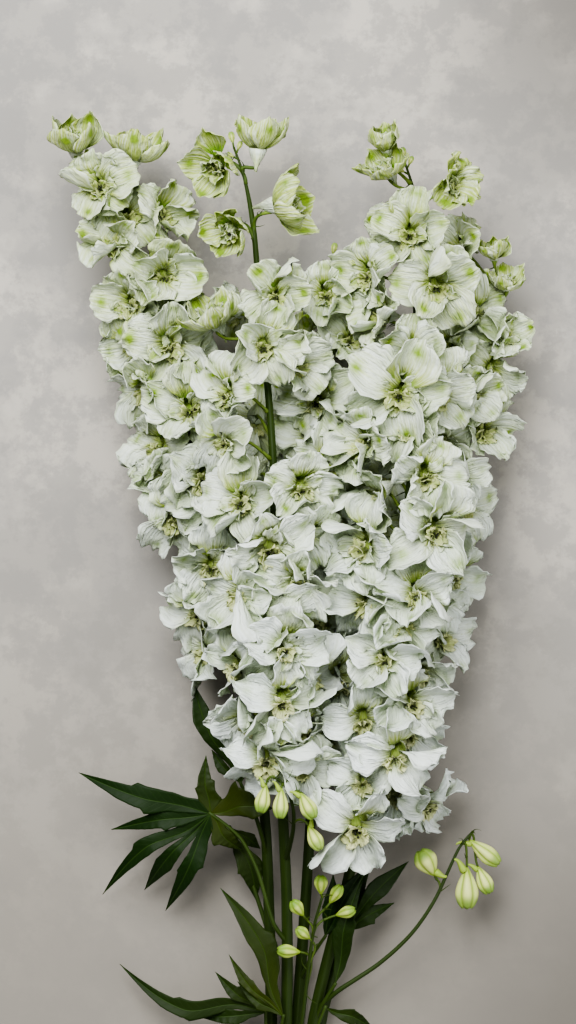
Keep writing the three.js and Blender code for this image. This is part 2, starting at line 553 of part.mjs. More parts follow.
// The tie: a band round the five stems, wide and flat where it lies on the surface and narrower on top
function tie() {
  const outline = (path, wall) => {
    const half = TIE_INNER_WIDTH / 2 + wall;
    const topHalf = TIE_TOP_WIDTH / 2 + wall;
    const [low, high] = [TIE_THICKNESS - wall, TIE_THICKNESS + TIE_INNER_HEIGHT + wall];
    const corner = TIE_CORNER + 0.4 * wall;
    path.moveTo(-half + corner, low);
    path.lineTo(half - corner, low);
    path.lineTo(half, low + corner);
    path.lineTo(topHalf, high - corner);
    path.lineTo(topHalf - corner, high);
    path.lineTo(-topHalf + corner, high);
    path.lineTo(-topHalf, high - corner);
    path.lineTo(-half, low + corner);
    path.closePath();
    return path;
  };
  const section = outline(new THREE.Shape(), TIE_THICKNESS);
  section.holes.push(outline(new THREE.Path(), 0));
  const geometry = new THREE.ExtrudeGeometry(section, { depth: TIE_WIDTH, bevelEnabled: false });
  geometry.rotateX(Math.PI / 2);
  geometry.translate(0, TIE_Y + TIE_WIDTH / 2, 0);
  return solidOf(geometry);
}
group.add(meshOf('tie', tie(), TIE_BEIGE));

// Origin under the middle of the bunch, on the surface
const box = new THREE.Box3().setFromObject(group);
const middle = box.getCenter(new THREE.Vector3());
group.position.set(-middle.x, -middle.y, -box.min.z);

export default group;
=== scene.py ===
"""A cut bunch of white delphiniums that lies on a pale surface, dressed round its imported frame."""

import math

import bpy
import numpy as np
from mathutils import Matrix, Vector


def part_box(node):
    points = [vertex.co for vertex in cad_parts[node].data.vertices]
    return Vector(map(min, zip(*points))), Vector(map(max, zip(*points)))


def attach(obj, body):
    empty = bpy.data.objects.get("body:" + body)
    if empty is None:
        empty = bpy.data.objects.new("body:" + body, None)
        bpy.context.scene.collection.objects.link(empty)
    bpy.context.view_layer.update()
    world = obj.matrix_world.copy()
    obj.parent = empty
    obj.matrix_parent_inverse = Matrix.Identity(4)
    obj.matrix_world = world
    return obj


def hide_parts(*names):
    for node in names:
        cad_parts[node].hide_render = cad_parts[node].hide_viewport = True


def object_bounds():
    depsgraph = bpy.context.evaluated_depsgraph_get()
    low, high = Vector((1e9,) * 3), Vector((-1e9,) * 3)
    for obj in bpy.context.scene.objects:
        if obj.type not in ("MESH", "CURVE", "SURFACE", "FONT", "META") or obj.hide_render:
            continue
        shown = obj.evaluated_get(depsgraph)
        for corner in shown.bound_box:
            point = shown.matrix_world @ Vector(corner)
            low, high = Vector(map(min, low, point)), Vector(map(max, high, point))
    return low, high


bl_info = {
    "name": "Delphinium Bunch",
    "version": (1, 0, 0),
    "blender": (4, 5, 0),
    "location": "3D View > Sidebar > Delphinium",
    "description": "Grows the blooms, stems, leaves, buds and tie of a cut bunch of white delphiniums",
    "category": "Add Mesh",
}

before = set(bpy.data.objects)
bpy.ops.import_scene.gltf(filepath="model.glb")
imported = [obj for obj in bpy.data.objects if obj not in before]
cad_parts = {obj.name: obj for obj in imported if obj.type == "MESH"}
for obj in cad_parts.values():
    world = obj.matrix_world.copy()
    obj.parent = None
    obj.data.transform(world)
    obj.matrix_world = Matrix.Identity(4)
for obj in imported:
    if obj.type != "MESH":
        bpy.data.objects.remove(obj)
CAD_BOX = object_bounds()
MM = 0.001

# The layout is in millimetres: x to the right of the bunch, y towards the tips, z up off the surface. The
# stems cross y = TIE_Y under the middle of the tie, which fixes the layout in the frame.
TIE_Y = -118
CUT_END_Y = -160
SPIKE_TOP_Y = 640
tie_low, tie_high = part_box("tie")
LAYOUT_ORIGIN = np.array(
    [
        (tie_low[0] + tie_high[0]) / 2,
        (tie_low[1] + tie_high[1]) / 2 - TIE_Y * MM,
        tie_low[2],
    ]
)

# Sizes of the plant, in millimetres unless the name says otherwise
STEM_RADIUS = 4.3
TIP_RADIUS = 1.5
BLOOM_REACH = 25
LEAST_OUT = 0.5
TURN_OUT = 0.5
CUP_RISE = 1.4
LEAN = 6
PEDICEL_RISE = 13
FULLNESS = 1.1
OPEN_ANGLE = 60
CUP_NECK = 11
YOUNG_FROM_Y = 200
YOUNGEST_Y = 610
RESTING_HEIGHT = 5
SURFACE_GAP = 0.4
CROWN_DEPTH = 9
CROWN_Z = CAD_BOX[1][2] / MM
TIP_TAPER = 60

# Where the draws of each kind of piece start, and how many each spike has for its listed blooms
CUP_SEED = 300
SPIKE_TIP_SEED = 40
LEAF_SEED = 500
SPRAY_SEED = 700
SEEDS_PER_SPIKE = 40

# Each spike: the line of its stem from the cut end to the tip, as [x, y, z], the y where its head begins
# and ends, and its blooms as [x, y, sepal length, opening angle], in front of the rachis and behind it
SPIKES = {
    "middle": {
        "line": [
            [-5.2, CUT_END_Y, 17.2], [-5.2, TIE_Y, 17.2], [-1, 0, 27], [-1, 87, 42], [-6, 192, 72],
            [-9, 297, 88], [-10, 388, 88], [-14, 444, 84], [-21, 519, 72], [-24, 556, 70],
            [-31, 594, 68], [-38, 614, 66],
        ],
        "head": [168, 512],
        "blooms": [
            [-9, 508, 24, 72], [-50, 487, 26, 56], [-18, 474, 26, 78], [-39, 441, 24, 82],
            [-41, 408, 24, 84], [-31, 366, 28, 84], [8, 376, 26, 84], [-13, 336, 29, 88],
            [-30, 302, 27, 86], [5, 312, 25, 86], [-3, 266, 29, 88], [-32, 253, 24, 92],
            [-5, 230, 28, 98], [-15, 191, 30, 104],
        ],
        "backs": [[-34, 498, 22, 74], [4, 462, 25, 78], [-22, 424, 26, 84], [-20, 384, 27, 84]],
    },
    "right": {
        "line": [
            [5.2, CUT_END_Y, 17.2], [5.2, TIE_Y, 17.2], [19, 0, 27], [40, 87, 42], [61, 192, 74],
            [75, 297, 88], [85, 381, 88], [91, 472, 78], [87, 552, 64], [90, 576, 62], [82, 604, 62],
        ],
        "head": [140, 592],
        "blooms": [
            [70, 593, 22, 52], [112, 584, 24, 60], [85, 552, 26, 76], [58, 523, 25, 74],
            [102, 517, 28, 78], [68, 492, 23, 78], [77, 441, 33, 86], [56, 405, 27, 84],
            [93, 384, 26, 84], [97, 347, 30, 86], [55, 336, 31, 86], [88, 303, 26, 88],
            [67, 258, 25, 88], [84, 228, 26, 90], [74, 192, 30, 98], [68, 611, 19, 32],
            [47, 143, 33, 104],
        ],
        "backs": [[76, 560, 20, 66], [104, 524, 24, 74], [70, 386, 27, 84], [66, 352, 27, 86]],
    },
    "back": {
        "line": [
            [0, CUT_END_Y, 7.6], [0, TIE_Y, 7.6], [7, 0, 13], [13, 87, 23], [19, 190, 33],
            [24, 297, 38], [29, 416, 40], [27, 470, 42], [31, 538, 46],
        ],
        "head": [182, 530],
        "blooms": [
            [26, 511, 24, 70], [11, 484, 18, 48], [42, 479, 22, 74], [21, 437, 26, 82],
            [30, 391, 26, 84], [33, 353, 27, 86], [24, 290, 28, 88], [33, 243, 29, 92],
            [26, 196, 32, 100],
        ],
        "backs": [[36, 496, 23, 76], [14, 444, 26, 82], [36, 272, 29, 91], [10, 214, 29, 96]],
    },
    "left": {
        "line": [
            [-10.5, CUT_END_Y, 7.6], [-10.5, TIE_Y, 7.6], [-12, 0, 15], [-14, 87, 23], [-18, 157, 31],
            [-30, 227, 37.6], [-44, 297, 42.6], [-62, 381, 43.6], [-83, 465, 40.6], [-104, 535, 39.6],
            [-131, 589, 40.6], [-146, 610, 43],
        ],
        "head": [238, 604],
        "blooms": [
            [-149, 612, 27, 34], [-107, 606, 29, 56], [-131, 587, 26, 74], [-92, 567, 25, 72],
            [-121, 547, 25, 78], [-88, 525, 29, 82], [-109, 505, 26, 80], [-84, 477, 30, 84],
            [-97, 446, 26, 84], [-69, 430, 29, 84], [-60, 384, 29, 86], [-77, 354, 26, 88],
            [-54, 322, 28, 88], [-62, 290, 25, 92],
        ],
        "backs": [[-134, 588, 21, 68], [-103, 498, 26, 81], [-76, 396, 27, 86], [-50, 282, 28, 93]],
    },
    "far_right": {
        "line": [
            [10.5, CUT_END_Y, 7.6], [10.5, TIE_Y, 7.6], [25, 0, 13], [50, 87, 24], [72, 171, 32],
            [83, 241, 36.6], [94, 325, 38.6], [112, 402, 37.6], [132, 467, 36.6], [144, 500, 36.6],
            [149, 524, 38],
        ],
        "head": [150, 522],
        "blooms": [
            [123, 543, 24, 64], [154, 516, 19, 54], [153, 482, 21, 64], [117, 473, 22, 76],
            [128, 440, 22, 80], [108, 410, 23, 82], [117, 384, 22, 84], [105, 342, 26, 86],
            [99, 296, 26, 88], [91, 250, 25, 90], [84, 206, 25, 94], [97, 154, 26, 104],
            [145, 537, 17, 34],
        ],
        "backs": [
            [142, 516, 16, 58], [140, 458, 21, 74], [92, 322, 26, 88], [86, 262, 26, 92],
            [70, 206, 26, 97],
        ],
    },
}

# Loose cups on the bare top of the middle spike: [x, y, z, sepal length, opening angle, facing, foot y]
LOOSE_CUPS = [
    [-21, 612, 72, 28, 38, [0.1, 1, 0.15], 598],
    [-48, 600, 78, 26, 54, [-0.45, -0.3, 0.8], 588],
    [-8, 569, 82, 30, 50, [0.9, 0.25, 0.35], 553],
    [-38, 555, 86, 23, 52, [-0.45, -0.35, 0.8], 541],
]

# Leaves: the stem each grows on, the y of its foot, its stalk, how far its green leans to olive
# (olive_lobes gives that for single lobes), and its lobes as [tip x, y, z, width, sag of the midrib, how far
# it bows against its length]
LEAVES = {
    "leaf_big_left": {
        "on": "middle", "foot": 52, "olive": 0.1, "olive_lobes": {0: 1, 1: 0.6, 7: 0.9},
        "stalk": [[-10, 66, 44], [-20, 100, 46], [-34, 128, 46], [-56, 146, 49]],
        "lobes": [
            [-11, 150, 60, 34, 4, 0.08], [-58, 186, 46, 14, 3, 0.05], [-149, 173, 34, 19, 7, 0.03],
            [-126, 132, 30, 15, 6, -0.03], [-133, 84, 16, 15, 12, -0.09], [-103, 87, 14, 21, 12, -0.04],
            [-88, 72, 14, 17, 10, 0.02], [-33, 118, 34, 19, 3, -0.08],
        ],
    },
    "leaf_upper_left": {
        "on": "left", "foot": 112, "olive": 0.3,
        "stalk": [[-22, 140, 44], [-34, 168, 50]],
        "lobes": [[-22, 206, 52, 16, 3, 0], [-67, 238, 50, 25, 4, 0.06], [-54, 190, 44, 13, 2, 0.05]],
    },
    "leaf_hanging": {
        "on": "left", "foot": 54, "olive": 0.6,
        "stalk": [[-24, 88, 20], [-34, 118, 22], [-42, 134, 24]],
        "lobes": [[-23, 80, 16, 25, 5, 0.08], [-20, 117, 18, 15, 3, 0.05]],
    },
    "leaf_low_left": {
        "on": "middle", "foot": -34, "olive": 0.8,
        "stalk": [[-6, -18, 34], [-3, 2, 42]],
        "lobes": [[-48, 91, 36, 22, 6, -0.09], [-42, 43, 32, 12, 3, 0.06], [-36, 24, 32, 10, 3, 0.05]],
    },
    "leaf_bottom_left": {
        "on": "left", "foot": -44, "olive": 0.45,
        "stalk": [[-15, -22, 22], [-16, 2, 24]],
        "lobes": [[-52, 29, 20, 13, 3, 0.05], [-121, 33, 10, 15, 10, 0.13], [-64, -4, 16, 14, 4, 0]],
    },
    "leaf_right_dark": {
        "on": "back", "foot": 22, "olive": 0.1,
        "stalk": [[18, 44, 34], [27, 58, 40]],
        "lobes": [[56, 108, 46, 18, 6, 0.04], [32, 102, 46, 16, 4, -0.04]],
    },
    "leaf_right_lobed": {
        "on": "far_right", "foot": 34, "olive": 0.35,
        "stalk": [[35, 48, 30], [38, 60, 34]],
        "lobes": [[76, 79, 24, 15, 4, 0.05], [86, 109, 28, 21, 6, 0.04], [60, 114, 32, 12, 3, 0]],
    },
    "leaf_right_long": {
        "on": "right", "foot": -6, "olive": 0.3,
        "stalk": [[28, 14, 36], [34, 24, 40]],
        "lobes": [[54, 104, 52, 15, 8, 0.05]],
    },
    "bract_low_right": {
        "on": "right", "foot": -40, "olive": 0.5,
        "stalk": [[18, -16, 34], [27, 8, 40]],
        "lobes": [[62, -12, 26, 12, 5, 0.08]],
    },
}

# Sprays: the stem each grows on, the y of its foot, how green its buds are, its stalk, and its buds as
# [x, y, z, length, width, way the free end points, where its pedicel leaves the stalk]
SPRAYS = {
    "buds_hanging": {
        "on": "middle", "foot": 112, "green": 0.15,
        "stalk": [[2, 128, 72], [4, 150, 94], [-2, 170, 106], [-9, 176, 110]],
        "buds": [
            [-17, 162, 110, 19, 11, [-0.2, -1, 0.1], 1], [-5, 159, 112, 20, 11, [-0.05, -1, 0.1], 0.9],
            [13, 157, 110, 19, 12, [0.45, -0.85, 0.2], 0.72], [18, 134, 100, 18, 11, [0.4, -0.8, 0.3], 0.5],
        ],
    },
    "buds_young": {
        "on": "middle", "foot": -46, "green": 0.5,
        "stalk": [[8, -14, 42], [13, 24, 52], [19, 70, 62], [24, 88, 66]],
        "buds": [
            [23, 97, 68, 13, 10, [0, 1, 0.1], 1], [33, 90, 66, 15, 9, [0.5, 0.8, 0.2], 0.86],
            [40, 77, 62, 14, 9, [0.9, 0.3, 0.2], 0.78], [7, 80, 64, 13, 10, [-0.6, 0.8, 0.2], 0.8],
            [11, 62, 62, 12, 9, [-0.7, 0.6, 0.3], 0.62], [1, 49, 56, 16, 10, [-0.95, 0.1, 0.2], 0.5],
        ],
    },
    "side_shoot": {
        "on": "right", "foot": 2, "green": 0.1,
        "stalk": [[35, 18, 38], [62, 36, 40], [88, 60, 42], [106, 87, 42], [122, 121, 40], [131, 131, 38]],
        "buds": [
            [99, 109, 42, 20, 17, [-0.5, 0.85, 0.1], 0.72], [139, 117, 36, 26, 13, [0.75, -0.6, 0], 1],
            [127, 92, 38, 28, 17, [0, -1, 0], 0.93], [139, 97, 34, 20, 12, [0.4, -0.9, 0], 0.97],
        ],
    },
}


def linear(colour):
    """An sRGB hex colour such as 0xf4f6ee as linear red, green and blue."""
    parts = [((colour >> shift) & 255) / 255 for shift in (16, 8, 0)]
    return tuple(part / 12.92 if part <= 0.04045 else ((part + 0.055) / 1.055) ** 2.4 for part in parts)


def colour_of(hex_value, name, description):
    """A colour that a user can change, with its default as sRGB hex."""
    return bpy.props.FloatVectorProperty(
        name=name, description=description, subtype="COLOR", size=3, min=0, max=1, default=linear(hex_value)
    )


def size_of(default, name, description):
    """A length in metres that a user can change."""
    return bpy.props.FloatProperty(name=name, description=description, unit="LENGTH", default=default)


def power_of(default, name, description):
    """A light's power in watts that a user can change."""
    return bpy.props.FloatProperty(name=name, description=description, unit="POWER", default=default)


class DelphiniumPetals(bpy.types.PropertyGroup):
    """Sizes and colours of the blooms."""

    white: colour_of(0xF3FAFD, "Sepal white", "Cool white of an open sepal")
    veil: colour_of(0xBDCB70, "Green veil", "Yellow green of throats, backs and young sepals")
    blotch: colour_of(0x86A52E, "Tip blotch", "Green mark near the tip of a sepal")
    throat: colour_of(0x6C9A10, "Throat green", "Deep green inside the throat, where the spur opens")
    cream: colour_of(0xF0EFBE, "Bee cream", "Cream of the small petals in the middle of a bloom")
    thickness: size_of(0.3 * MM, "Sepal thickness", "Thickness of a sepal")
    ruffle: size_of(2.4 * MM, "Ruffle", "How far a sepal's rim waves")


class DelphiniumGreens(bpy.types.PropertyGroup):
    """Sizes and colours of the stems, leaves and buds."""

    stem: colour_of(0x182B06, "Stem green", "Green of the stems and stalks")
    leaf: colour_of(0x112A09, "Leaf green", "Green of the upper side of a leaf")
    olive: colour_of(0x3A4314, "Olive", "Olive that some leaves lean to")
    bud: colour_of(0xDADF90, "Bud green", "Pale green of a closed bud")
    raffia: colour_of(0xB7A077, "Raffia", "Straw colour of the tie")
    leaf_thickness: size_of(0.45 * MM, "Leaf thickness", "Thickness of a leaf blade")


class DelphiniumStage(bpy.types.PropertyGroup):
    """Floor, light and camera."""

    floor: colour_of(0xB0ABA2, "Floor", "Pale grey of the surface")
    camera_height: size_of(2.2, "Camera height", "Height of the camera over the surface")
    key_power: power_of(112, "Key power", "Power of the key light")
    fill_power: power_of(34, "Fill power", "Power of the fill light")


def draw(number):
    """Small repeatable draw, the same for the same number, from 0 to 1."""
    wave = math.sin(number * 12.9898) * 43758.5453
    return wave - math.floor(wave)


def spread(number, low, high):
    """A repeatable draw from low to high."""
    return low + (high - low) * draw(number)


def ease(value):
    """Smooth step from 0 at 0 to 1 at 1."""
    held = np.clip(value, 0, 1)
    return held * held * (3 - 2 * held)


def unit(vector):
    """The vector at length 1."""
    vector = np.asarray(vector, float)
    return vector / np.linalg.norm(vector)


def blend(value, low, high, start, end):
    """Maps value from the range low to high on to start to end, and holds it there."""
    share = min(max((value - low) / (high - low), 0), 1)
    return start + (end - start) * share


def settled(points):
    """Points that would sink into the surface are pressed flat on it, and those far in front are drawn in."""
    points = np.array(points, float)
    height = points[..., 2]
    pressed = RESTING_HEIGHT * np.exp(np.minimum(height / RESTING_HEIGHT - 1, 0))
    over = CROWN_DEPTH * (1 - np.exp(-np.maximum(height - CROWN_Z, 0) / CROWN_DEPTH))
    free = np.minimum(height, CROWN_Z) + over
    points[..., 2] = np.where(height < RESTING_HEIGHT, pressed, free) + SURFACE_GAP
    return points


class Growth:
    """The points, faces and marks of one piece while it grows, in layout millimetres."""

    def __init__(self):
        self.points = []
        self.faces = {3: [], 4: []}
        self.finishes = {3: [], 4: []}
        self.grain = []
        self.tint = []
        self.total = 0

    def add(self, points, faces, grain, tint, finish):
        """Adds one closed body. faces is a list of arrays with three or four corners a row."""
        count = len(points)
        self.points.append(settled(points))
        for corners in faces:
            size = corners.shape[1]
            self.faces[size].append(corners + self.total)
            self.finishes[size].append(np.full(len(corners), finish))
        self.grain.append(np.broadcast_to(grain, (count, 3)))
        self.tint.append(np.broadcast_to(tint, (count, 3)))
        self.total += count

    def piece(self, name, finishes, node):
        """Makes the mesh object, which stands for a node of the frame."""
        mesh = bpy.data.meshes.new(name)
        sizes = [size for size in (4, 3) if self.faces[size]]
        corners = np.concatenate([np.concatenate(self.faces[size]).ravel() for size in sizes])
        counts = np.concatenate([np.full(sum(map(len, self.faces[size])), size) for size in sizes])
        marks = np.concatenate([np.concatenate(self.finishes[size]) for size in sizes])
        mesh.vertices.add(self.total)
        places = np.concatenate(self.points) * MM + LAYOUT_ORIGIN
        mesh.vertices.foreach_set("co", places.astype(np.float32).ravel())
        mesh.loops.add(len(corners))
        mesh.loops.foreach_set("vertex_index", corners.astype(np.int32))
        mesh.polygons.add(len(counts))
        starts = np.concatenate([[0], np.cumsum(counts)[:-1]])
        mesh.polygons.foreach_set("loop_start", starts.astype(np.int32))
        mesh.polygons.foreach_set("material_index", marks.astype(np.int32))
        mesh.update(calc_edges=True)
        for label, values in (("grain", self.grain), ("tint", self.tint)):
            attribute = mesh.attributes.new(label, "FLOAT_VECTOR", "POINT")
            attribute.data.foreach_set("vector", np.concatenate(values).astype(np.float32).ravel())
        mesh.shade_smooth()
        for finish in finishes:
            mesh.materials.append(finish)
        made = bpy.data.objects.new(name, mesh)
        bpy.context.scene.collection.objects.link(made)
        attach(made, "root")
        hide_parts(node)
        return made


def add_sheet(growth, middle, thickness, grain, tint, finish, back_tint=None):
    """Adds a thin closed sheet round a grid of points (rows, columns, 3). Its back may have its own tint."""
    rows, columns = middle.shape[:2]
    normal = np.cross(np.gradient(middle, axis=0), np.gradient(middle, axis=1))
    normal /= np.maximum(np.linalg.norm(normal, axis=2, keepdims=True), 1e-9)
    half = normal * thickness / 2
    index = np.arange(rows * columns).reshape(rows, columns)
    top = np.stack([index[:-1, :-1], index[1:, :-1], index[1:, 1:], index[:-1, 1:]], axis=-1).reshape(-1, 4)
    under = top[:, ::-1] + rows * columns
    rim = np.concatenate([index[0, :-1], index[:-1, -1], index[-1, :0:-1], index[:0:-1, 0]])
    following = np.roll(rim, -1)
    walls = np.stack([rim, following, following + rows * columns, rim + rows * columns], axis=-1)
    points = np.concatenate([(middle + half).reshape(-1, 3), (middle - half).reshape(-1, 3)])
    grain = np.tile(np.broadcast_to(grain, (rows, columns, 3)).reshape(-1, 3), (2, 1))
    faces = [tint, tint if back_tint is None else back_tint]
    tint = np.concatenate([np.broadcast_to(face, (rows, columns, 3)).reshape(-1, 3) for face in faces])
    growth.add(points, [np.concatenate([top, under, walls])], grain, tint, finish)


def add_rings(growth, rings, poles, grain, tint, finish):
    """Adds a closed body from rings of points (rings, sides, 3), with a pole point at either end."""
    count, sides = rings.shape[:2]
    index = np.arange(count * sides).reshape(count, sides)
    turned = np.roll(index, -1, axis=1)
    walls = np.stack([index[:-1], turned[:-1], turned[1:], index[1:]], axis=-1).reshape(-1, 4)
    first = np.full(sides, count * sides)
    caps = [
        np.stack([first, turned[0], index[0]], axis=-1),
        np.stack([first + 1, index[-1], turned[-1]], axis=-1),
    ]
    points = np.concatenate([rings.reshape(-1, 3), np.asarray(poles, float)])
    marks = []
    for mark in (grain, tint):
        body = np.broadcast_to(mark, (count, sides, 3)).reshape(-1, 3)
        marks.append(np.concatenate([body, body[:1], body[-1:]]))
    growth.add(points, [walls, np.concatenate(caps)], marks[0], marks[1], finish)


def frames_along(line):
    """Two directions square to a line at each of its points, without needless twist."""
    tangents = np.gradient(line, axis=0)
    tangents /= np.maximum(np.linalg.norm(tangents, axis=1, keepdims=True), 1e-9)
    start = np.array([0, 0, 1.0]) if abs(tangents[0][2]) < 0.9 else np.array([1.0, 0, 0])
    first = []
    for tangent in tangents:
        start = unit(start - tangent * np.dot(start, tangent))
        first.append(start)
    first = np.array(first)
    return first, np.cross(tangents, first)


# How far the ends of a tube bulge, against its radius there
TUBE_END = 0.3


def add_tube(growth, line, radii, sides, tint, finish, ribs=0, rib_depth=0):
    """Adds a closed tube along a line, with ribs round it if asked."""
    line = np.asarray(line, float)
    first, second = frames_along(line)
    angles = np.linspace(0, 2 * math.pi, sides, endpoint=False)
    radii = np.broadcast_to(radii, len(line))
    reach = radii[:, None] * (1 + rib_depth * np.cos(ribs * angles))[None, :]
    rings = (
        line[:, None]
        + (reach * np.cos(angles))[..., None] * first[:, None]
        + (reach * np.sin(angles))[..., None] * second[:, None]
    )
    travel = np.concatenate([[0], np.cumsum(np.linalg.norm(np.diff(line, axis=0), axis=1))])
    grain = np.empty((len(line), sides, 3))
    grain[..., 0] = travel[:, None]
    grain[..., 1] = radii[:, None] * np.abs(angles - math.pi)[None, :]
    grain[..., 2] = np.cos(ribs * angles)[None, :]
    if np.ndim(tint) == 2:
        tint = np.asarray(tint)[:, None, :]
    first_pole = line[0] - TUBE_END * radii[0] * unit(line[1] - line[0])
    last_pole = line[-1] + TUBE_END * radii[-1] * unit(line[-1] - line[-2])
    add_rings(growth, rings, [first_pole, last_pole], grain, tint, finish)


def smooth_line(points, steps):
    """Evenly spaced points on the centripetal Catmull-Rom line through the points given."""
    points = np.array(points, float)
    padded = np.vstack([2 * points[0] - points[1], points, 2 * points[-1] - points[-2]])
    dense = []
    for i in range(len(points) - 1):
        four = padded[i : i + 4]
        knots = np.concatenate([[0], np.cumsum(np.sqrt(np.linalg.norm(np.diff(four, axis=0), axis=1)))])
        at = np.linspace(knots[1], knots[2], 12, endpoint=False)[:, None]
        level = list(four)
        for width in (1, 2, 3):
            level = [
                ((knots[k + width] - at) * level[k] + (at - knots[k]) * level[k + 1])
                / (knots[k + width] - knots[k])
                for k in range(4 - width)
            ]
        dense.append(level[0])
    dense = np.vstack(dense + [points[-1:]])
    travel = np.concatenate([[0], np.cumsum(np.linalg.norm(np.diff(dense, axis=0), axis=1))])
    even = np.linspace(0, travel[-1], steps + 1)
    return np.stack([np.interp(even, travel, dense[:, k]) for k in range(3)], axis=-1)


def point_on(line, places, at):
    """The point of a line at one place. places says for each of its points where it lies."""
    return np.array([np.interp(at, places, line[:, k]) for k in range(3)])


def arch(start, start_way, end, end_way, steps):
    """Points of a curve that leaves start one way and comes into end another, both as vectors."""
    t = np.linspace(0, 1, steps + 1)[:, None]
    corners = [np.asarray(start), start + np.asarray(start_way), end - np.asarray(end_way), np.asarray(end)]
    shares = [(1 - t) ** 3, 3 * t * (1 - t) ** 2, 3 * t * t * (1 - t), t**3]
    return sum(share * corner for share, corner in zip(shares, corners))


STEM_STEPS = 150
stem_lines = {name: smooth_line(spike["line"], STEM_STEPS) for name, spike in SPIKES.items()}


def stem_radius(y):
    """Radius of a stem where its middle line has this y."""
    along = (y - CUT_END_Y) / (SPIKE_TOP_Y - CUT_END_Y)
    return STEM_RADIUS + (TIP_RADIUS - STEM_RADIUS) * np.clip(along, 0, 1) ** 1.4


def point_at_y(name, y):
    """The point of a stem's middle line with this y."""
    line = stem_lines[name]
    return point_on(line, line[:, 1], y)


# Marks of the finishes in a bloom's list of materials
SEPAL, BEE, GREEN, ANTHER = range(4)
# A petal's outline is a square grid drawn in to a rounded one by this share
ROUNDING = 0.43


def petal_outline(plan, phases, x, y):
    """How far along and across a petal each point of its grid lies, and how far its side is turned over."""
    rim = np.hypot(x, y)
    swing = np.arctan2(y, x)
    nicks = 0.5 * np.sin(7 * swing + phases[0]) + 0.5 * np.sin(13 * swing + phases[1])
    nicks += 0.7 * np.sin(4 * swing + phases[2]) + 0.3 * np.sin(18 * swing + phases[8])
    outline = 1 + plan["nick"] * rim**3 * nicks
    along = np.clip((x * outline + 1) / 2, 0, 1.1)
    along = along + plan["apex"] * np.exp(-((y / 0.28) ** 2)) * ease((along - 0.7) / 0.3)
    taper = plan["base"] + (1 - plan["base"]) * ease(along / plan["shoulder"])
    taper *= 1 - plan["point"] * np.clip((along - 0.55) / 0.45, 0, 1.2) ** 2
    turned = np.clip(plan["flip_side"] * y - 0.25, 0, 1) ** 2 * plan["flip"] * ease(along / 0.7)
    across = (y * outline - 0.75 * plan["flip_side"] * turned) * plan["half_width"] * taper
    return along, across, turned


def petal_bend(plan, along):
    """How far out and how far forwards a petal's midrib has come at each point, and its tilt there."""
    steps = np.linspace(0, 1.3, 44)
    tilts = np.radians(plan["tilt"][0] + (plan["tilt"][1] - plan["tilt"][0]) * steps ** plan["ease"])
    stride = plan["length"] * (steps[1] - steps[0])
    out_table = np.concatenate([[0], np.cumsum(np.sin(tilts[:-1]) * stride)])
    rise_table = np.concatenate([[0], np.cumsum(np.cos(tilts[:-1]) * stride)])
    out = np.interp(along, steps, out_table) + plan["start"]
    rise = np.interp(along, steps, rise_table) + plan["lift"]
    return out, rise, np.interp(along, steps, tilts)


def petal_relief(plan, phases, x, y, along, turned):
    """How far each point of a petal stands off its midrib: its cup, fold, ruffle, pleats and crumple."""
    rim = np.hypot(x, y)
    swing = np.arctan2(y, x)
    wave = 0.5 * np.sin(3 * swing + phases[3]) + 0.5 * np.sin(6 * swing + phases[4])
    wave += 0.5 * np.sin(10 * swing + phases[5]) + 0.35 * rim**4 * np.sin(15 * swing + phases[9])
    pleat = np.sin(y * 9 + phases[6] + along) + np.sin(y * 16 + phases[7] + 3 * along)
    crumple = np.sin(7 * along + 3 * y + phases[10]) * np.sin(4.5 * y + 4 * along + phases[11])
    crease = np.abs(y - 0.45 * math.sin(phases[0]))
    hollow = plan["cup"] * y * y + plan["fold"] * crease + 1.1 * turned
    relief = plan["half_width"] * hollow * (0.4 + 0.6 * along)
    relief = relief + plan["ruffle"] * rim**2.5 * wave * ease(along / 0.5)
    relief = relief + (plan["pleat"] * pleat * (0.4 + 0.6 * rim) + 3.4 * plan["pleat"] * crumple) * along
    return relief - plan["keel"] * np.exp(-((y / 0.16) ** 2)) * along


def petal_tints(plan, phases, y, along, chance):
    """The marks of a petal's face and of its back: its blotch, its green veil and its own chance."""
    from_mark = ((along - plan["blotch_at"]) / 0.1) ** 2 + ((y - 0.12 * math.sin(phases[1])) / 0.25) ** 2
    blotch = np.exp(-from_mark) * plan["blotch"]
    veil = plan["veil"] + plan["throat"] * np.exp(-((along / plan["throat_reach"]) ** 2))
    veil = np.clip(veil + 0.35 * plan["blotch"] * np.exp(-from_mark / 5), 0, 2)
    chance = np.full_like(along, chance)
    rib = plan["rib"] * (np.exp(-((y / 0.3) ** 2)) * (1.1 - 0.7 * along) + 0.35 * (1 - along))
    back_veil = np.clip(plan["veil"] + rib, 0, 1.2)
    return np.stack([blotch, veil, chance], axis=-1), np.stack([blotch, back_veil, chance], axis=-1)


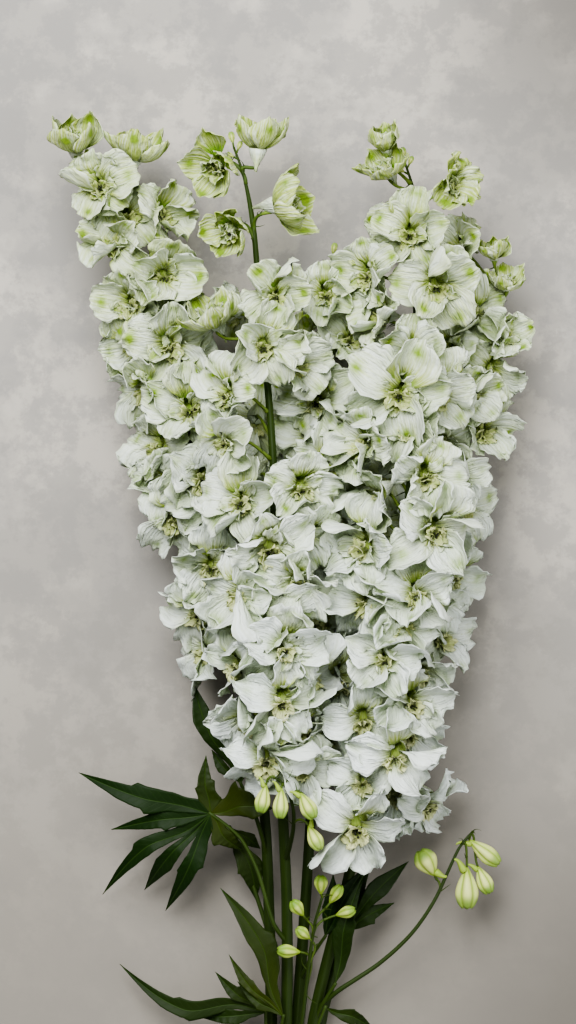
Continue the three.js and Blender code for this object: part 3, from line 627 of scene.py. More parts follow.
def add_petal(growth, bloom, turn, plan, seed, finish, grid):
    """Adds one petal of a bloom. plan holds its sizes in mm, its tilts in degrees and its marks."""
    rows, columns = grid
    u, v = np.meshgrid(np.linspace(-1, 1, rows), np.linspace(-1, 1, columns), indexing="ij")
    x = u * np.sqrt(1 - ROUNDING * v * v)
    y = v * np.sqrt(1 - ROUNDING * u * u)
    phases = [spread(seed + 0.37 * k, 0, 2 * math.pi) for k in range(12)]
    along, across, turned = petal_outline(plan, phases, x, y)
    out, rise, tilt = petal_bend(plan, along)
    relief = petal_relief(plan, phases, x, y, along, turned)

    angle = bloom["spin"] + turn
    radial = math.cos(angle) * bloom["up"] + math.sin(angle) * bloom["side"]
    tangent = np.cross(bloom["facing"], radial)
    normal = np.sin(tilt)[..., None] * bloom["facing"] - np.cos(tilt)[..., None] * radial
    roll = plan["roll"] + plan["twist"] * along
    edge = np.cos(roll)[..., None] * tangent + np.sin(roll)[..., None] * normal
    face = np.cos(roll)[..., None] * normal - np.sin(roll)[..., None] * tangent
    middle = bloom["centre"] + out[..., None] * radial + rise[..., None] * bloom["facing"]
    middle = middle + across[..., None] * edge + relief[..., None] * face

    patch = np.full_like(x, 10 * draw(seed + 3))
    grain = np.stack([along * plan["length"], y * plan["half_width"], patch], axis=-1)
    tint, back_tint = petal_tints(plan, phases, y, along, draw(seed + 7))
    add_sheet(growth, middle, bloom["thickness"], grain, tint, finish, back_tint)


# Stations of the throat's funnel, as [depth, radius, rise towards the upper sepal] against the bloom's
# size: first the hollow inside, from its end to the rim, then the outside, from the rim to the spur's tip
FUNNEL_INSIDE = [
    [0.2, 0.02, 0.17], [0.15, 0.07, 0.16], [0.09, 0.12, 0.15], [0.03, 0.17, 0.12], [-0.03, 0.22, 0.09],
]
FUNNEL_OUTSIDE = [
    [-0.01, 0.235, 0.09], [0.1, 0.2, 0.12], [0.24, 0.14, 0.15], [0.34, 0.08, 0.18], [0.45, 0.05, 0.2],
    [0.56, 0.03, 0.2],
]
# How far below the middle of a bloom its bee sits, against its size
BEE_DROP = 0.13


def add_spur(growth, bloom):
    """Adds the throat's funnel, which runs back into the spur: green and hollow in front, pale outside."""
    size = bloom["size"]
    sides = 12
    angles = np.linspace(0, 2 * math.pi, sides, endpoint=False)
    circle = np.cos(angles)[:, None] * bloom["side"] + np.sin(angles)[:, None] * bloom["up"]
    depths, radii, rises = np.array(FUNNEL_INSIDE + FUNNEL_OUTSIDE).T
    shifts = rises[:, None] * bloom["up"] - depths[:, None] * bloom["facing"]
    rings = (bloom["centre"] + size * shifts)[:, None] + size * radii[:, None, None] * circle
    inside = np.arange(len(depths)) < len(FUNNEL_INSIDE)
    green = np.where(inside, 1.25 + np.clip(2.5 * depths, 0, 0.45), 0.3 + depths)
    tint = np.stack([np.zeros_like(green), green, np.full_like(green, 0.4)], axis=-1)[:, None, :]
    grain = np.zeros((len(depths), sides, 3))
    grain[..., 0] = (depths * size)[:, None]
    grain[..., 1] = 0.4 * size * np.sin(angles)[None, :]
    add_rings(growth, rings, [rings[0].mean(axis=0), rings[-1].mean(axis=0)], grain, tint, SEPAL)


def add_stamens(growth, bloom):
    """Adds the tuft of near-black anthers on short green threads."""
    size = bloom["size"]
    seed = bloom["seed"]
    for k in range(8):
        angle = k * 2.4 + draw(seed + k)
        lean = size * (0.02 + 0.016 * k**0.7)
        root = bloom["centre"] - (BEE_DROP - 0.01) * size * bloom["up"]
        sideways = math.cos(angle) * bloom["side"] + math.sin(angle) * bloom["up"]
        tip = root + lean * sideways + size * spread(seed + 2 * k, 0.13, 0.24) * bloom["facing"]
        way = unit(tip - root)
        length = size * spread(seed + 3 * k, 0.045, 0.075)
        line = np.array([tip + way * length * t for t in (0, 0.33, 0.66, 1)])
        add_tube(growth, line, np.array([0.4, 1, 1, 0.4]) * 0.022 * size, 5, (0, 0, draw(seed + k)), ANTHER)
        thread = np.array([root + (tip - root) * t for t in (0, 0.5, 1)])
        add_tube(growth, thread, 0.012 * size, 3, (0, 0.5, 0.5), GREEN)


def sepal_plan(bloom, k, own):
    """Sizes, tilts and marks of one of the five sepals."""
    size, opening, youth = bloom["size"], bloom["opening"], bloom["youth"]
    cupped = opening < OPEN_ANGLE
    closing = opening <= OPEN_ANGLE
    drooping = blend(opening, 88, 104, 0, 1)
    bend = spread(own + 1, -52, 30)
    lean = spread(own + 2, -14, 12)
    if cupped:
        tilt = (opening + 36 + 0.5 * lean, opening - 36 + 0.5 * bend)
    else:
        tilt = (0.5 * opening + lean, 1.3 * opening + 1.1 * bend + 6 * drooping)
    curled = draw(own + 4) > 0.64 and not cupped
    upper = k == 0
    start = 0.24 if upper else 0.1
    mature = blend(opening, 80, 98, 0, 1)
    narrow = 0.1 * mature + 0.05 * drooping
    return {
        "length": size * (0.98 + 0.2 * draw(own + 3) - start + (0.08 if cupped else 0)),
        "half_width": size * (0.55 - narrow + 0.08 * draw(own + 5)) * (0.85 if cupped else 1),
        "base": 0.4, "shoulder": 0.58, "point": 0.16 + 0.34 * mature + 0.45 * draw(own + 6) ** 2,
        "apex": (0.05 + 0.08 * mature) * draw(own + 16) + (0.05 if cupped else 0),
        "start": start * size, "lift": 0, "tilt": tilt, "ease": 0.8,
        "cup": (0.45 if cupped else spread(own + 8, -0.22, 0.3)) + (0.5 if curled else 0),
        "fold": spread(own + 14, -0.15, 0.5) * (0.4 if cupped else 1) + 0.3 * mature,
        "flip": 0 if cupped else max(0, spread(own + 17, -0.7, 1.7)),
        "flip_side": 1 if draw(own + 18) > 0.5 else -1,
        "ruffle": bloom["ruffle"] * (0.3 if cupped else 1) * spread(own + 9, 0.5, 1.4),
        "pleat": (0.24 if cupped else 0.32) + 0.12 * mature, "keel": 0.6, "nick": 0.03 if cupped else 0.06,
        "roll": 0.16 + spread(own + 10, -0.2, 0.2),
        "twist": spread(own + 11, -0.6, 0.6) * (0.3 if cupped else 1 + 0.8 * mature),
        "blotch": (2 if closing else blend(youth, 0, 0.7, 0.25, 1.2)) * spread(own + 12, 0.4, 1.2),
        "blotch_at": spread(own + 15, 0.72, 0.88),
        "veil": 0.04 + 0.5 * youth**1.15 + (0.3 if closing else 0),
        "throat": (1.55 if upper else 0.95) + 0.3 * youth,
        "throat_reach": 0.36 if upper else 0.26, "rib": 0.35 + 0.4 * youth,
    }


def inner_plan(bloom, own):
    """Sizes, tilts and marks of one of the petals that double a bloom."""
    size, opening, youth = bloom["size"], bloom["opening"], bloom["youth"]
    bend = spread(own + 2, -20, 20) - (25 if opening < OPEN_ANGLE else 0)
    return {
        "length": size * spread(own, 0.42, 0.6), "half_width": size * spread(own + 1, 0.17, 0.27),
        "base": 0.35, "shoulder": 0.7, "point": 0.45, "apex": 0.1, "flip": 0, "flip_side": 1,
        "start": 0.12 * size, "lift": 0.02 * size,
        "tilt": (0.35 * opening, 0.85 * opening + bend),
        "ease": 1, "cup": spread(own + 3, 0.1, 0.5), "fold": spread(own + 7, -0.1, 0.5),
        "ruffle": 0.7 * bloom["ruffle"], "pleat": 0.14, "keel": 0.3, "nick": 0.08,
        "roll": spread(own + 4, -0.3, 0.3), "twist": spread(own + 5, -0.7, 0.7),
        "blotch": blend(youth, 0, 0.7, 0.5, 1.5), "blotch_at": 0.8,
        "veil": 0.1 + 0.5 * youth, "throat": 0.9, "throat_reach": 0.35, "rib": 0.5,
    }


def bee_plan(bloom, k, own):
    """Sizes, tilts and marks of one of the bee's small cream petals. The first two are the narrow ones."""
    size, youth = bloom["size"], bloom["youth"]
    upper = k < 2
    return {
        "length": size * spread(own, 0.34, 0.47),
        "half_width": size * (0.09 if upper else spread(own + 1, 0.13, 0.19)),
        "base": 0.4, "shoulder": 0.8, "point": 0, "apex": 0, "flip": 0, "flip_side": 1,
        "start": 0.06 * size, "lift": 0,
        "tilt": (4, 60 + spread(own + 2, -22, 35)), "ease": 1.3,
        "cup": spread(own + 3, -0.1, 0.6), "fold": spread(own + 7, -0.2, 0.5), "ruffle": 0.05 * size,
        "pleat": 0.08, "keel": -0.2, "nick": 0.17,
        "roll": spread(own + 4, -0.4, 0.4), "twist": spread(own + 5, -0.7, 0.7),
        "blotch": blend(youth, 0, 0.8, 0.2, 1.1), "blotch_at": 0.8,
        "veil": 0.1 + 0.4 * youth, "throat": 1.3, "throat_reach": 0.36, "rib": 0.6,
    }


# Rows and columns of points in each kind of petal
SEPAL_GRID = (13, 17)
PLAIN_SEPAL_GRID = (9, 11)
INNER_GRID = (8, 9)
BEE_GRID = (7, 7)
# Way of each bee petal round the bloom, from its upper sepal, in radians
BEE_ANGLES = (0.75, -0.75, 1.6, 2.4, 3.14, -2.4, -1.6)


def add_bloom(growth, bloom):
    """Adds one bloom: five sepals, inner petals, the bee with its anthers, and the spur."""
    seed = bloom["seed"]
    fifth = 2 * math.pi / 5
    grid = SEPAL_GRID if bloom["rich"] else PLAIN_SEPAL_GRID
    for k in range(5):
        own = seed * 7.3 + 31 * k
        turn = k * fifth + spread(own + 13, -0.14, 0.14)
        add_petal(growth, bloom, turn, sepal_plan(bloom, k, own), own, SEPAL, grid)
    if bloom["doubled"]:
        for k in (1, 2, 3, 4) if bloom["opening"] > OPEN_ANGLE else range(5):
            own = seed * 5.1 + 17 * k + 400
            turn = (k + 0.5) * fifth + spread(own + 6, -0.25, 0.25)
            add_petal(growth, bloom, turn, inner_plan(bloom, own), own, SEPAL, INNER_GRID)
    bee = dict(bloom, centre=bloom["centre"] - BEE_DROP * bloom["size"] * bloom["up"])
    for k, angle in enumerate(BEE_ANGLES):
        own = seed * 3.7 + 13 * k + 900
        turn = angle + spread(own + 6, -0.15, 0.15)
        add_petal(growth, bee, turn, bee_plan(bloom, k, own), own, BEE, BEE_GRID)
    add_spur(growth, bloom)
    if bloom["rich"]:
        add_stamens(growth, bloom)


# How thick a bract is along it, against its width
BRACT_TAPER = np.array([0.8, 1, 0.9, 0.8, 0.65, 0.5, 0.35, 0.2])


def add_bract(growth, root, way, bend, length, width, tint, finish=GREEN):
    """Adds a narrow thread-like bract that curls over."""
    end = root + way * length * 0.8 + bend * length * 0.5
    line = arch(root, way * length * 0.5, end, bend * length * 0.4, len(BRACT_TAPER) - 1)
    add_tube(growth, line, width * BRACT_TAPER, 4, tint, finish)


def loose_way(seed, lowest):
    """A direction drawn by chance, with the lowest x, y and z that it may have."""
    return unit([spread(seed + k, low, 1) for k, low in enumerate(lowest)])


def bloom_at(centre, facing, size, opening, seed, youth, petals, rich=True):
    """What the parts of a bloom need to know of it: its place, its three directions and its sizes. A rich one
    is seen from the front and has finer petals."""
    facing = unit(facing)
    upright = np.array([0, 1.0, 0]) if abs(facing[1]) < 0.93 else np.array([0, 0, 1.0])
    up = unit(upright - facing * np.dot(upright, facing))
    return {
        "centre": np.asarray(centre, float), "facing": facing, "up": up, "side": np.cross(facing, up),
        "size": size, "opening": opening, "seed": seed, "youth": youth,
        "spin": spread(seed + 0.9, -0.3, 0.3),
        "thickness": petals.thickness / MM, "ruffle": petals.ruffle / MM, "rich": rich,
        "doubled": rich and (youth > 0.3 or draw(seed + 0.5) > 0.6),
    }


def spike_bloom(name, x, y, length, opening, front, reach_share, seed, petals, rich):
    """One bloom of a spike and its pedicel's foot, in front of the rachis (front 1) or behind it (-1)."""
    low, high = SPIKES[name]["head"]
    size = length * (FULLNESS if opening > OPEN_ANGLE else 1)
    axis = point_at_y(name, min(y, high))
    across = x - axis[0]
    reach = max(BLOOM_REACH * (0.7 + size / 90) * reach_share, abs(across) + 1)
    out = front * max(math.sqrt(reach * reach - across * across), LEAST_OUT * reach)
    rise = CUP_RISE if opening < OPEN_ANGLE else blend(opening, 60, 105, 0.17, -0.4)
    youth = blend(y, YOUNG_FROM_Y, YOUNGEST_Y, 0, 1)
    if opening < OPEN_ANGLE:
        youth = max(youth, 0.75)
    aside = TURN_OUT * across + spread(seed + 0.2, -LEAN, LEAN)
    facing = (aside, rise * reach + spread(seed + 0.4, -LEAN, LEAN), out)
    bloom = bloom_at((x, y, axis[2] + out), facing, size, opening, seed, youth, petals, rich)
    foot_y = min(max(y - PEDICEL_RISE, low + 4), high - 3)
    bloom["foot"] = point_at_y(name, foot_y)
    bloom["rachis"] = float(stem_radius(foot_y))
    return bloom


def listed_blooms(name, petals):
    """The blooms of a spike that its list gives."""
    spike = SPIKES[name]
    first_seed = 1 + SEEDS_PER_SPIKE * list(SPIKES).index(name)
    made = []
    for blooms, front in ((spike["blooms"], 1), (spike["backs"], -1)):
        for x, y, length, opening in blooms:
            seed = first_seed + len(made)
            made.append(spike_bloom(name, x, y, length, opening, front, 1, seed, petals, front > 0))
    return made


FILLERS_PER_SPIKE = 8
FILLER_SEED = 1000
FILLER_REACH = 0.72
FILLER_ANGLES = (-50, -30, -12, 12, 30, 50)
FILLER_STEP_Y = 9
BARE_RACHIS_Y = (392, 410, 428, 446)


def fill_gaps(heads, petals):
    """Adds blooms to each head, each in the widest gap left and closer to the rachis than the listed ones."""
    taken = [bloom["centre"][:2] for blooms in heads.values() for bloom in blooms if bloom["rich"]]
    taken += [point_at_y("middle", y)[:2] for y in BARE_RACHIS_Y]
    for order, (name, blooms) in enumerate(heads.items()):
        low, high = SPIKES[name]["head"]
        offers = []
        for y in np.arange(low + 14, high - 12, FILLER_STEP_Y):
            for angle in FILLER_ANGLES:
                across = BLOOM_REACH * math.sin(math.radians(angle))
                offers.append((point_at_y(name, y)[0] + across, y))
        offers = np.array(offers)
        for k in range(FILLERS_PER_SPIKE):
            gaps = np.linalg.norm(offers[:, None] - np.array(taken)[None], axis=2).min(axis=1)
            x, y = offers[int(gaps.argmax())]
            taken.append(np.array([x, y]))
            seed = FILLER_SEED + 20 * order + k
            length = spread(seed, 24, 28) * blend(y, 480, 600, 1, 0.8)
            opening = blend(y, 150, 500, 96, 74)
            blooms.append(spike_bloom(name, x, y, length, opening, 1, FILLER_REACH, seed, petals, False))


def add_pedicel(growth, bloom):
    """Adds the thin stalk that carries a bloom, with its bracts."""
    size = bloom["size"]
    seed = bloom["seed"]
    base = bloom["centre"] - 0.1 * size * bloom["facing"]
    outwards = base - bloom["foot"]
    outwards[1] = 0
    outwards = unit(outwards)
    start = bloom["foot"] + 0.7 * bloom["rachis"] * outwards
    distance = np.linalg.norm(base - start)
    away = (0.35 * outwards + np.array([0, 0.3, 0])) * distance
    line = arch(start, away, base, 0.4 * distance * bloom["facing"], 9)
    radii = np.interp(np.linspace(0, 1, 10), [0, 0.12, 0.8, 1], [1.9, 1.25, 1.05, 1.9])
    green = 0.35 + 0.3 * bloom["youth"]
    add_tube(growth, line, radii, 7, (0, green, draw(seed)), GREEN)
    sideways = np.cross(outwards, [0, 1.0, 0])
    for at, length in ((0, 11), (6, 6), (7, 6)):
        bend = unit(spread(seed + at, -1, 1) * sideways + np.array([0, spread(seed + at + 5, -0.6, 1), 0]))
        way = unit(outwards + 0.6 * bend)
        add_bract(growth, line[at], way, bend, length, 0.45, (0, 0.1, draw(seed + at)))


def add_node(tree, kind, values=(), links=(), **properties):
    """Adds a node with its properties, the values of its inputs, and the sockets linked to them."""
    made = tree.nodes.new(kind)
    for name, value in properties.items():
        setattr(made, name, value)
    for key, value in dict(values).items():
        made.inputs[key].default_value = value
    for key, socket in dict(links).items():
        tree.links.new(socket, made.inputs[key])
    return made


def new_finish(name):
    """An empty node material with its output, and the tree."""
    finish = bpy.data.materials.new(name)
    finish.use_nodes = True
    finish.node_tree.nodes.clear()
    output = finish.node_tree.nodes.new("ShaderNodeOutputMaterial")
    return finish, finish.node_tree, output


def marks_of(tree):
    """Sockets of a piece's marks: its grain in millimetres, and its three tints."""
    grain = add_node(tree, "ShaderNodeAttribute", attribute_name="grain").outputs["Vector"]
    tint = add_node(tree, "ShaderNodeAttribute", attribute_name="tint").outputs["Vector"]
    parts = add_node(tree, "ShaderNodeSeparateXYZ", links={0: tint})
    return grain, parts.outputs[0], parts.outputs[1], parts.outputs[2]


def add_fed_node(tree, kind, parts, **properties):
    """Adds a node whose inputs are given together, each as a socket or as a plain value."""
    links = {key: part for key, part in parts.items() if isinstance(part, bpy.types.NodeSocket)}
    values = {key: part for key, part in parts.items() if key not in links}
    return add_node(tree, kind, values, links, **properties)


def mixed(tree, factor, first, second, blend_type="MIX"):
    """Colour between two, each a socket or a linear colour. factor is a socket or a number."""
    parts = {0: factor}
    for key, colour in ((6, first), (7, second)):
        parts[key] = colour if isinstance(colour, bpy.types.NodeSocket) else (*colour, 1)
    return add_fed_node(tree, "ShaderNodeMix", parts, data_type="RGBA", blend_type=blend_type).outputs[2]


def figure(tree, operation, first, second=0.0, clamp=False):
    """A math node on two sockets or numbers."""
    parts = {0: first, 1: second}
    return add_fed_node(tree, "ShaderNodeMath", parts, operation=operation, use_clamp=clamp).outputs[0]


def dyed(tree, body, share, amount, colour):
    """A colour with some of another in it, by a share from 0 to 1 of which only this amount counts."""
    return mixed(tree, figure(tree, "MULTIPLY", share, amount), body, colour)


def streaks(tree, grain, along, across, detail=2.0):
    """Noise drawn out along the grain: the sizes of its marks in millimetres."""
    stretch = add_node(
        tree, "ShaderNodeVectorMath", {1: (1 / along, 1 / across, 1)}, {0: grain}, operation="MULTIPLY"
    )
    noise = {"Scale": 1, "Detail": detail, "Roughness": 0.55}
    return add_node(tree, "ShaderNodeTexNoise", noise, {"Vector": stretch.outputs[0]}).outputs[0]


def ramped(tree, value, low, high, start=0.0, end=1.0):
    """A value taken from the range low to high on to start to end, smoothly, and held there."""
    return add_node(
        tree,
        "ShaderNodeMapRange",
        {1: low, 2: high, 3: start, 4: end},
        {0: value},
        interpolation_type="SMOOTHSTEP",
    ).outputs[0]


def bumped(tree, height, depth, strength=1.0, under=None):
    """The normal of a skin with a height on it, so many millimetres deep, over other bumps if given."""
    links = {"Height": height}
    if under is not None:
        links["Normal"] = under
    values = {"Strength": strength, "Distance": depth * MM}
    return add_node(tree, "ShaderNodeBump", values, links).outputs[0]


def skin(tree, body, normal, roughness, specular, **more):
    """A skin's shader from its colour, its bumps and its gloss."""
    values = {"Roughness": roughness, "Specular IOR Level": specular, **more}
    links = {"Base Color": body, "Normal": normal}
    return add_node(tree, "ShaderNodeBsdfPrincipled", values, links).outputs[0]


def let_through(tree, share, surface, colour, normal):
    """A skin's shader that lets a share of the light through, in a colour."""
    glow = add_node(tree, "ShaderNodeBsdfTranslucent", links={"Color": colour, "Normal": normal})
    return add_node(tree, "ShaderNodeMixShader", {0: share}, {1: surface, 2: glow.outputs[0]}).outputs[0]


# What petal tissue leaves of the light that passes it
OLIVE_LIGHT = (0.95, 1.0, 0.7)
# Painted shade in the gaps between petals: the colour a petal's own colour is multiplied by where another
# petal is near, and how far in millimetres a petal looks for another
PAINTED_GAP_SHADE = (0.5, 0.58, 0.26)
PAINTED_SHADE_REACH = 16


def petal_finish(name, base, petals, veined, through):
    """Petal tissue: thin, soft and matt, so light passes it and it glows a little. Its veins stand a third of
    a millimetre apart and are drawn over a millimetre apart, so that they show. Shade is painted into its
    colour, darker and olive, where other petals lie close."""
    finish, tree, output = new_finish(name)
    grain, blotch, veil, chance = marks_of(tree)
    vein = streaks(tree, grain, 18, 1.3)
    pleat = streaks(tree, grain, 11, 2.8)
    cloud = streaks(tree, grain, 6, 5)
    line = ramped(tree, vein, 0.4, 0.64)
    body = dyed(tree, base, chance, 0.3, linear(0xDFE2D8))
    body = dyed(tree, body, line, 0.1, linear(0xA9AE9A))
    streaked = ramped(tree, vein, 0.36, 0.66, 1 - veined, 1 + 0.4 * veined)
    veil_share = figure(tree, "MULTIPLY", veil, streaked, clamp=True)
    body = mixed(tree, veil_share, body, petals.veil)
    deep = figure(tree, "SUBTRACT", veil, ramped(tree, vein, 0.36, 0.66, 1.25, 0.85), clamp=True)
    body = mixed(tree, deep, body, petals.throat)
    ragged = figure(tree, "ADD", figure(tree, "MULTIPLY", cloud, 1.4), 0.4)
    blotch_share = figure(tree, "MULTIPLY", blotch, ragged, clamp=True)
    body = mixed(tree, blotch_share, body, petals.blotch)
    # Painted shade: the petal's colour is multiplied darker and olive where another petal lies within reach
    gap = add_node(tree, "ShaderNodeAmbientOcclusion", {"Distance": PAINTED_SHADE_REACH * MM}, samples=4).outputs["AO"]
    body = mixed(tree, ramped(tree, gap, 0.95, 0.25, 0, 0.6), body, PAINTED_GAP_SHADE, "MULTIPLY")
    veins = bumped(tree, vein, 0.9)
    folds = bumped(tree, pleat, 2.3, under=veins)
    normal = bumped(tree, cloud, 2.4, 0.5, folds)
    surface = skin(tree, body, normal, 0.55, 0.35, **{"IOR": 1.4, "Sheen Weight": 0.1})
    warm = mixed(tree, 0.9, body, OLIVE_LIGHT, "MULTIPLY")
    tree.links.new(let_through(tree, through, surface, warm, normal), output.inputs[0])
    return finish


def stalk_finish(name, dark, light):
    """Green stalk skin: smooth and faintly waxy, with fine lines along it, and a paler green where young."""
    finish, tree, output = new_finish(name)
    grain, _, pale, _ = marks_of(tree)
    lines = streaks(tree, grain, 30, 0.8)
    patch = streaks(tree, grain, 22, 9)
    body = mixed(tree, pale, dark, light)
    body = dyed(tree, body, lines, 0.35, tuple(0.45 * part for part in dark))
    body = dyed(tree, body, patch, 0.12, linear(0x6B7F34))
    surface = skin(tree, body, bumped(tree, lines, 0.3, 0.4), 0.55, 0.25, IOR=1.42)
    tree.links.new(surface, output.inputs[0])
    return finish


def anther_finish():
    """Anthers: dusty and nearly black, so the middle of each bloom reads as a dark eye."""
    finish, tree, output = new_finish("anther_dusty_black")
    _, _, _, chance = marks_of(tree)
    body = mixed(tree, chance, linear(0x1B2016), linear(0x4A4B33))
    surface = add_node(tree, "ShaderNodeBsdfPrincipled", {"Roughness": 0.8}, {"Base Color": body})
    tree.links.new(surface.outputs[0], output.inputs[0])
    return finish


# How far apart a leaf's side veins stand, in millimetres, and how far they run forwards against their reach
VEIN_STEP = 6
VEIN_SLANT = 1.3


def leaf_finish(greens):
    """Leaf skin: smooth and half glossy, deep green with paler veins, and a little light passes it."""
    finish, tree, output = new_finish("leaf_smooth_green")
    grain, olive, _, chance = marks_of(tree)
    parts = add_node(tree, "ShaderNodeSeparateXYZ", links={0: grain})
    along, across = parts.outputs[0], figure(tree, "ABSOLUTE", parts.outputs[1])
    midrib = figure(tree, "SUBTRACT", 1, figure(tree, "MULTIPLY", across, 1.5), clamp=True)
    # Side veins leave the midrib forwards
    run = figure(tree, "SUBTRACT", along, figure(tree, "MULTIPLY", across, VEIN_SLANT))
    ripple = figure(tree, "SINE", figure(tree, "MULTIPLY", run, 2 * math.pi / VEIN_STEP))
    side = figure(tree, "MULTIPLY", figure(tree, "SUBTRACT", ripple, 0.9), 10, clamp=True)
    veins = figure(tree, "MAXIMUM", midrib, figure(tree, "MULTIPLY", side, 0.22))
    patch = streaks(tree, grain, 16, 7)
    fine = streaks(tree, grain, 1.4, 1.2)
    body = mixed(tree, olive, greens.leaf, greens.olive)
    body = dyed(tree, body, patch, 0.6, linear(0x0B1D05))
    body = dyed(tree, body, veins, 0.28, linear(0x4A6A28))
    height = figure(tree, "SUBTRACT", figure(tree, "MULTIPLY", fine, 0.3), veins)
    normal = bumped(tree, height, 0.5, 0.6)
    surface = skin(tree, body, normal, 0.52, 0.17, IOR=1.45)
    bright = mixed(tree, chance, linear(0x567F22), linear(0x6F8F2C))
    tree.links.new(let_through(tree, 0.12, surface, bright, normal), output.inputs[0])
    return finish


def bud_finish(greens, name):
    """Bud skin: pale and satin, with green along each rib and a deeper green blotch at the tip."""
    finish, tree, output = new_finish(name)
    grain, tip, rib, _ = marks_of(tree)
    lines = streaks(tree, grain, 12, 0.7)
    body = mixed(tree, rib, greens.bud, linear(0x86A034))
    body = dyed(tree, body, lines, 0.3, linear(0x93A84A))
    body = mixed(tree, tip, body, linear(0x5F8628))
    surface = skin(tree, body, bumped(tree, lines, 0.3, 0.35), 0.48, 0.4, IOR=1.42)
    tree.links.new(surface, output.inputs[0])
    return finish


def raffia_finish(greens):
    """Raffia: dry palm ribbon, matt, with fibres a third of a millimetre apart drawn at twice that."""
    finish, tree, output = new_finish("raffia_dry_straw")
    grain, _, _, chance = marks_of(tree)
    fibres = streaks(tree, grain, 40, 0.6, 3.0)
    body = mixed(tree, fibres, greens.raffia, linear(0x8A7248))
    body = dyed(tree, body, chance, 0.4, linear(0xD8C69C))
    surface = skin(tree, body, bumped(tree, fibres, 0.4, 0.7), 0.82, 0.25)
    tree.links.new(surface, output.inputs[0])
    return finish


def bloom_finishes(petals, greens):
    """The finishes of a bloom, in the order of their marks."""
    found = bpy.data.materials.get("sepal_soft_white")
    if found:
        names = ("sepal_soft_white", "bee_petal_cream", "pedicel_waxy_green", "anther_dusty_black")
        return [bpy.data.materials[name] for name in names]
    return [
        petal_finish("sepal_soft_white", petals.white, petals, 0.45, 0.2),
        petal_finish("bee_petal_cream", petals.cream, petals, 0.3, 0.3),
        stalk_finish("pedicel_waxy_green", tuple(greens.stem), linear(0x86A044)),
        anther_finish(),
    ]


class DELPHINIUM_OT_heads(bpy.types.Operator):
    """Grow the head of blooms on each of the five spikes"""

    bl_idname = "delphinium.heads"
    bl_label = "Heads of blooms"

    def execute(self, context):
        petals = context.scene.delphinium_petals
        finishes = bloom_finishes(petals, context.scene.delphinium_greens)
        heads = {name: listed_blooms(name, petals) for name in SPIKES}
        fill_gaps(heads, petals)
        for name, blooms in heads.items():
            growth = Growth()
            for bloom in blooms:
                add_bloom(growth, bloom)
                add_pedicel(growth, bloom)
            growth.piece(f"blooms_{name}", finishes, f"head_{name}")
        return {"FINISHED"}


def cup_blooms(petals):
    """The four loose cups on the bare top of the middle spike."""
    made = []
    for i, (x, y, z, size, opening, facing, foot_y) in enumerate(LOOSE_CUPS):
        bloom = bloom_at((x, y, z), facing, size, opening, CUP_SEED + i, 0.95, petals)
        bloom["foot"] = point_at_y("middle", foot_y)
        made.append(bloom)
    return made


class DELPHINIUM_OT_cups(bpy.types.Operator):
    """Grow the loose young cups at the top of the middle spike"""

    bl_idname = "delphinium.cups"
    bl_label = "Loose cups"

    def execute(self, context):
        petals = context.scene.delphinium_petals
        finishes = bloom_finishes(petals, context.scene.delphinium_greens)
        for i, bloom in enumerate(cup_blooms(petals)):
            growth = Growth()
            add_bloom(growth, bloom)
            base = bloom["centre"] - CUP_NECK * bloom["facing"]
            neck = CUP_NECK - 0.06 * bloom["size"]
            line = np.array([base + t * neck * bloom["facing"] for t in (0, 0.3, 0.7, 1)])
            add_tube(growth, line, np.array([1.2, 1.4, 2.0, 2.4]), 8, (0, 0.8, 0.5), GREEN)
            growth.piece(f"young_cup_{i + 1}", finishes, f"cup_{i + 1}")
        return {"FINISHED"}


def add_cup_stalk(growth, bloom):
    """Adds the stalk of a loose cup, from the middle stem to the cup's neck, with its bracts."""
    base = bloom["centre"] - CUP_NECK * bloom["facing"]
    distance = np.linalg.norm(base - bloom["foot"])
    rise = np.array([0, 0.45, 0]) * distance
    stalk = arch(bloom["foot"], rise, base, 0.45 * distance * bloom["facing"], 12)
    add_tube(growth, stalk, np.linspace(1.5, 1.15, 13), 8, (0, 0.45, 0.4), 0)
    for at in (3, 9, 10):
        seed = bloom["seed"] + at
        way = loose_way(seed, (-1, -0.3, -0.2))
        bend = unit([spread(seed + 3, -1, 1), 0.3, spread(seed + 4, -1, 1)])
        add_bract(growth, stalk[at], way, bend, 8, 0.4, (0, 0.3, 0.5), 0)


class DELPHINIUM_OT_stems(bpy.types.Operator):
    """Grow the five stems, with the stalks of the loose cups on the middle one"""

    bl_idname = "delphinium.stems"
    bl_label = "Stems"

    def execute(self, context):
        petals = context.scene.delphinium_petals
        greens = context.scene.delphinium_greens
        finish = stalk_finish("stem_ribbed_green", tuple(greens.stem), linear(0x5F7A30))
        bud_skin = bud_finish(greens, "tip_bud_satin_green")
        for order, name in enumerate(SPIKES):
            growth = Growth()
            line = stem_lines[name]
            radii = stem_radius(line[:, 1]) * (0.5 + 0.5 * ease((line[-1, 1] - line[:, 1]) / TIP_TAPER))
            pale = np.interp(line[:, 1], [-160, 60, 300, 620], [0.16, 0, 0, 0.12])
            tint = np.stack([np.zeros(len(line)), pale, np.full(len(line), draw(order))], axis=-1)
            add_tube(growth, line, radii, 20, tint, 0, ribs=5, rib_depth=0.07)
            if name == "middle":
                for bloom in cup_blooms(petals):
                    add_cup_stalk(growth, bloom)
            add_spike_tip(growth, line, SPIKE_TIP_SEED + order)
            growth.piece(f"ribbed_stem_{name}", [finish, bud_skin], f"stem_{name}")
        return {"FINISHED"}


# Half outline of a leaf lobe on either side of its midrib, as [along, reach against its width]
LOBE_LEFT = [
    [0, 0.1], [0.15, 0.3], [0.3, 0.47], [0.45, 0.56], [0.48, 0.4], [0.66, 0.33], [0.85, 0.15], [1, 0],
]
LOBE_RIGHT = [[0, 0.1], [0.15, 0.28], [0.3, 0.43], [0.56, 0.5], [0.59, 0.33], [0.78, 0.2], [1, 0]]
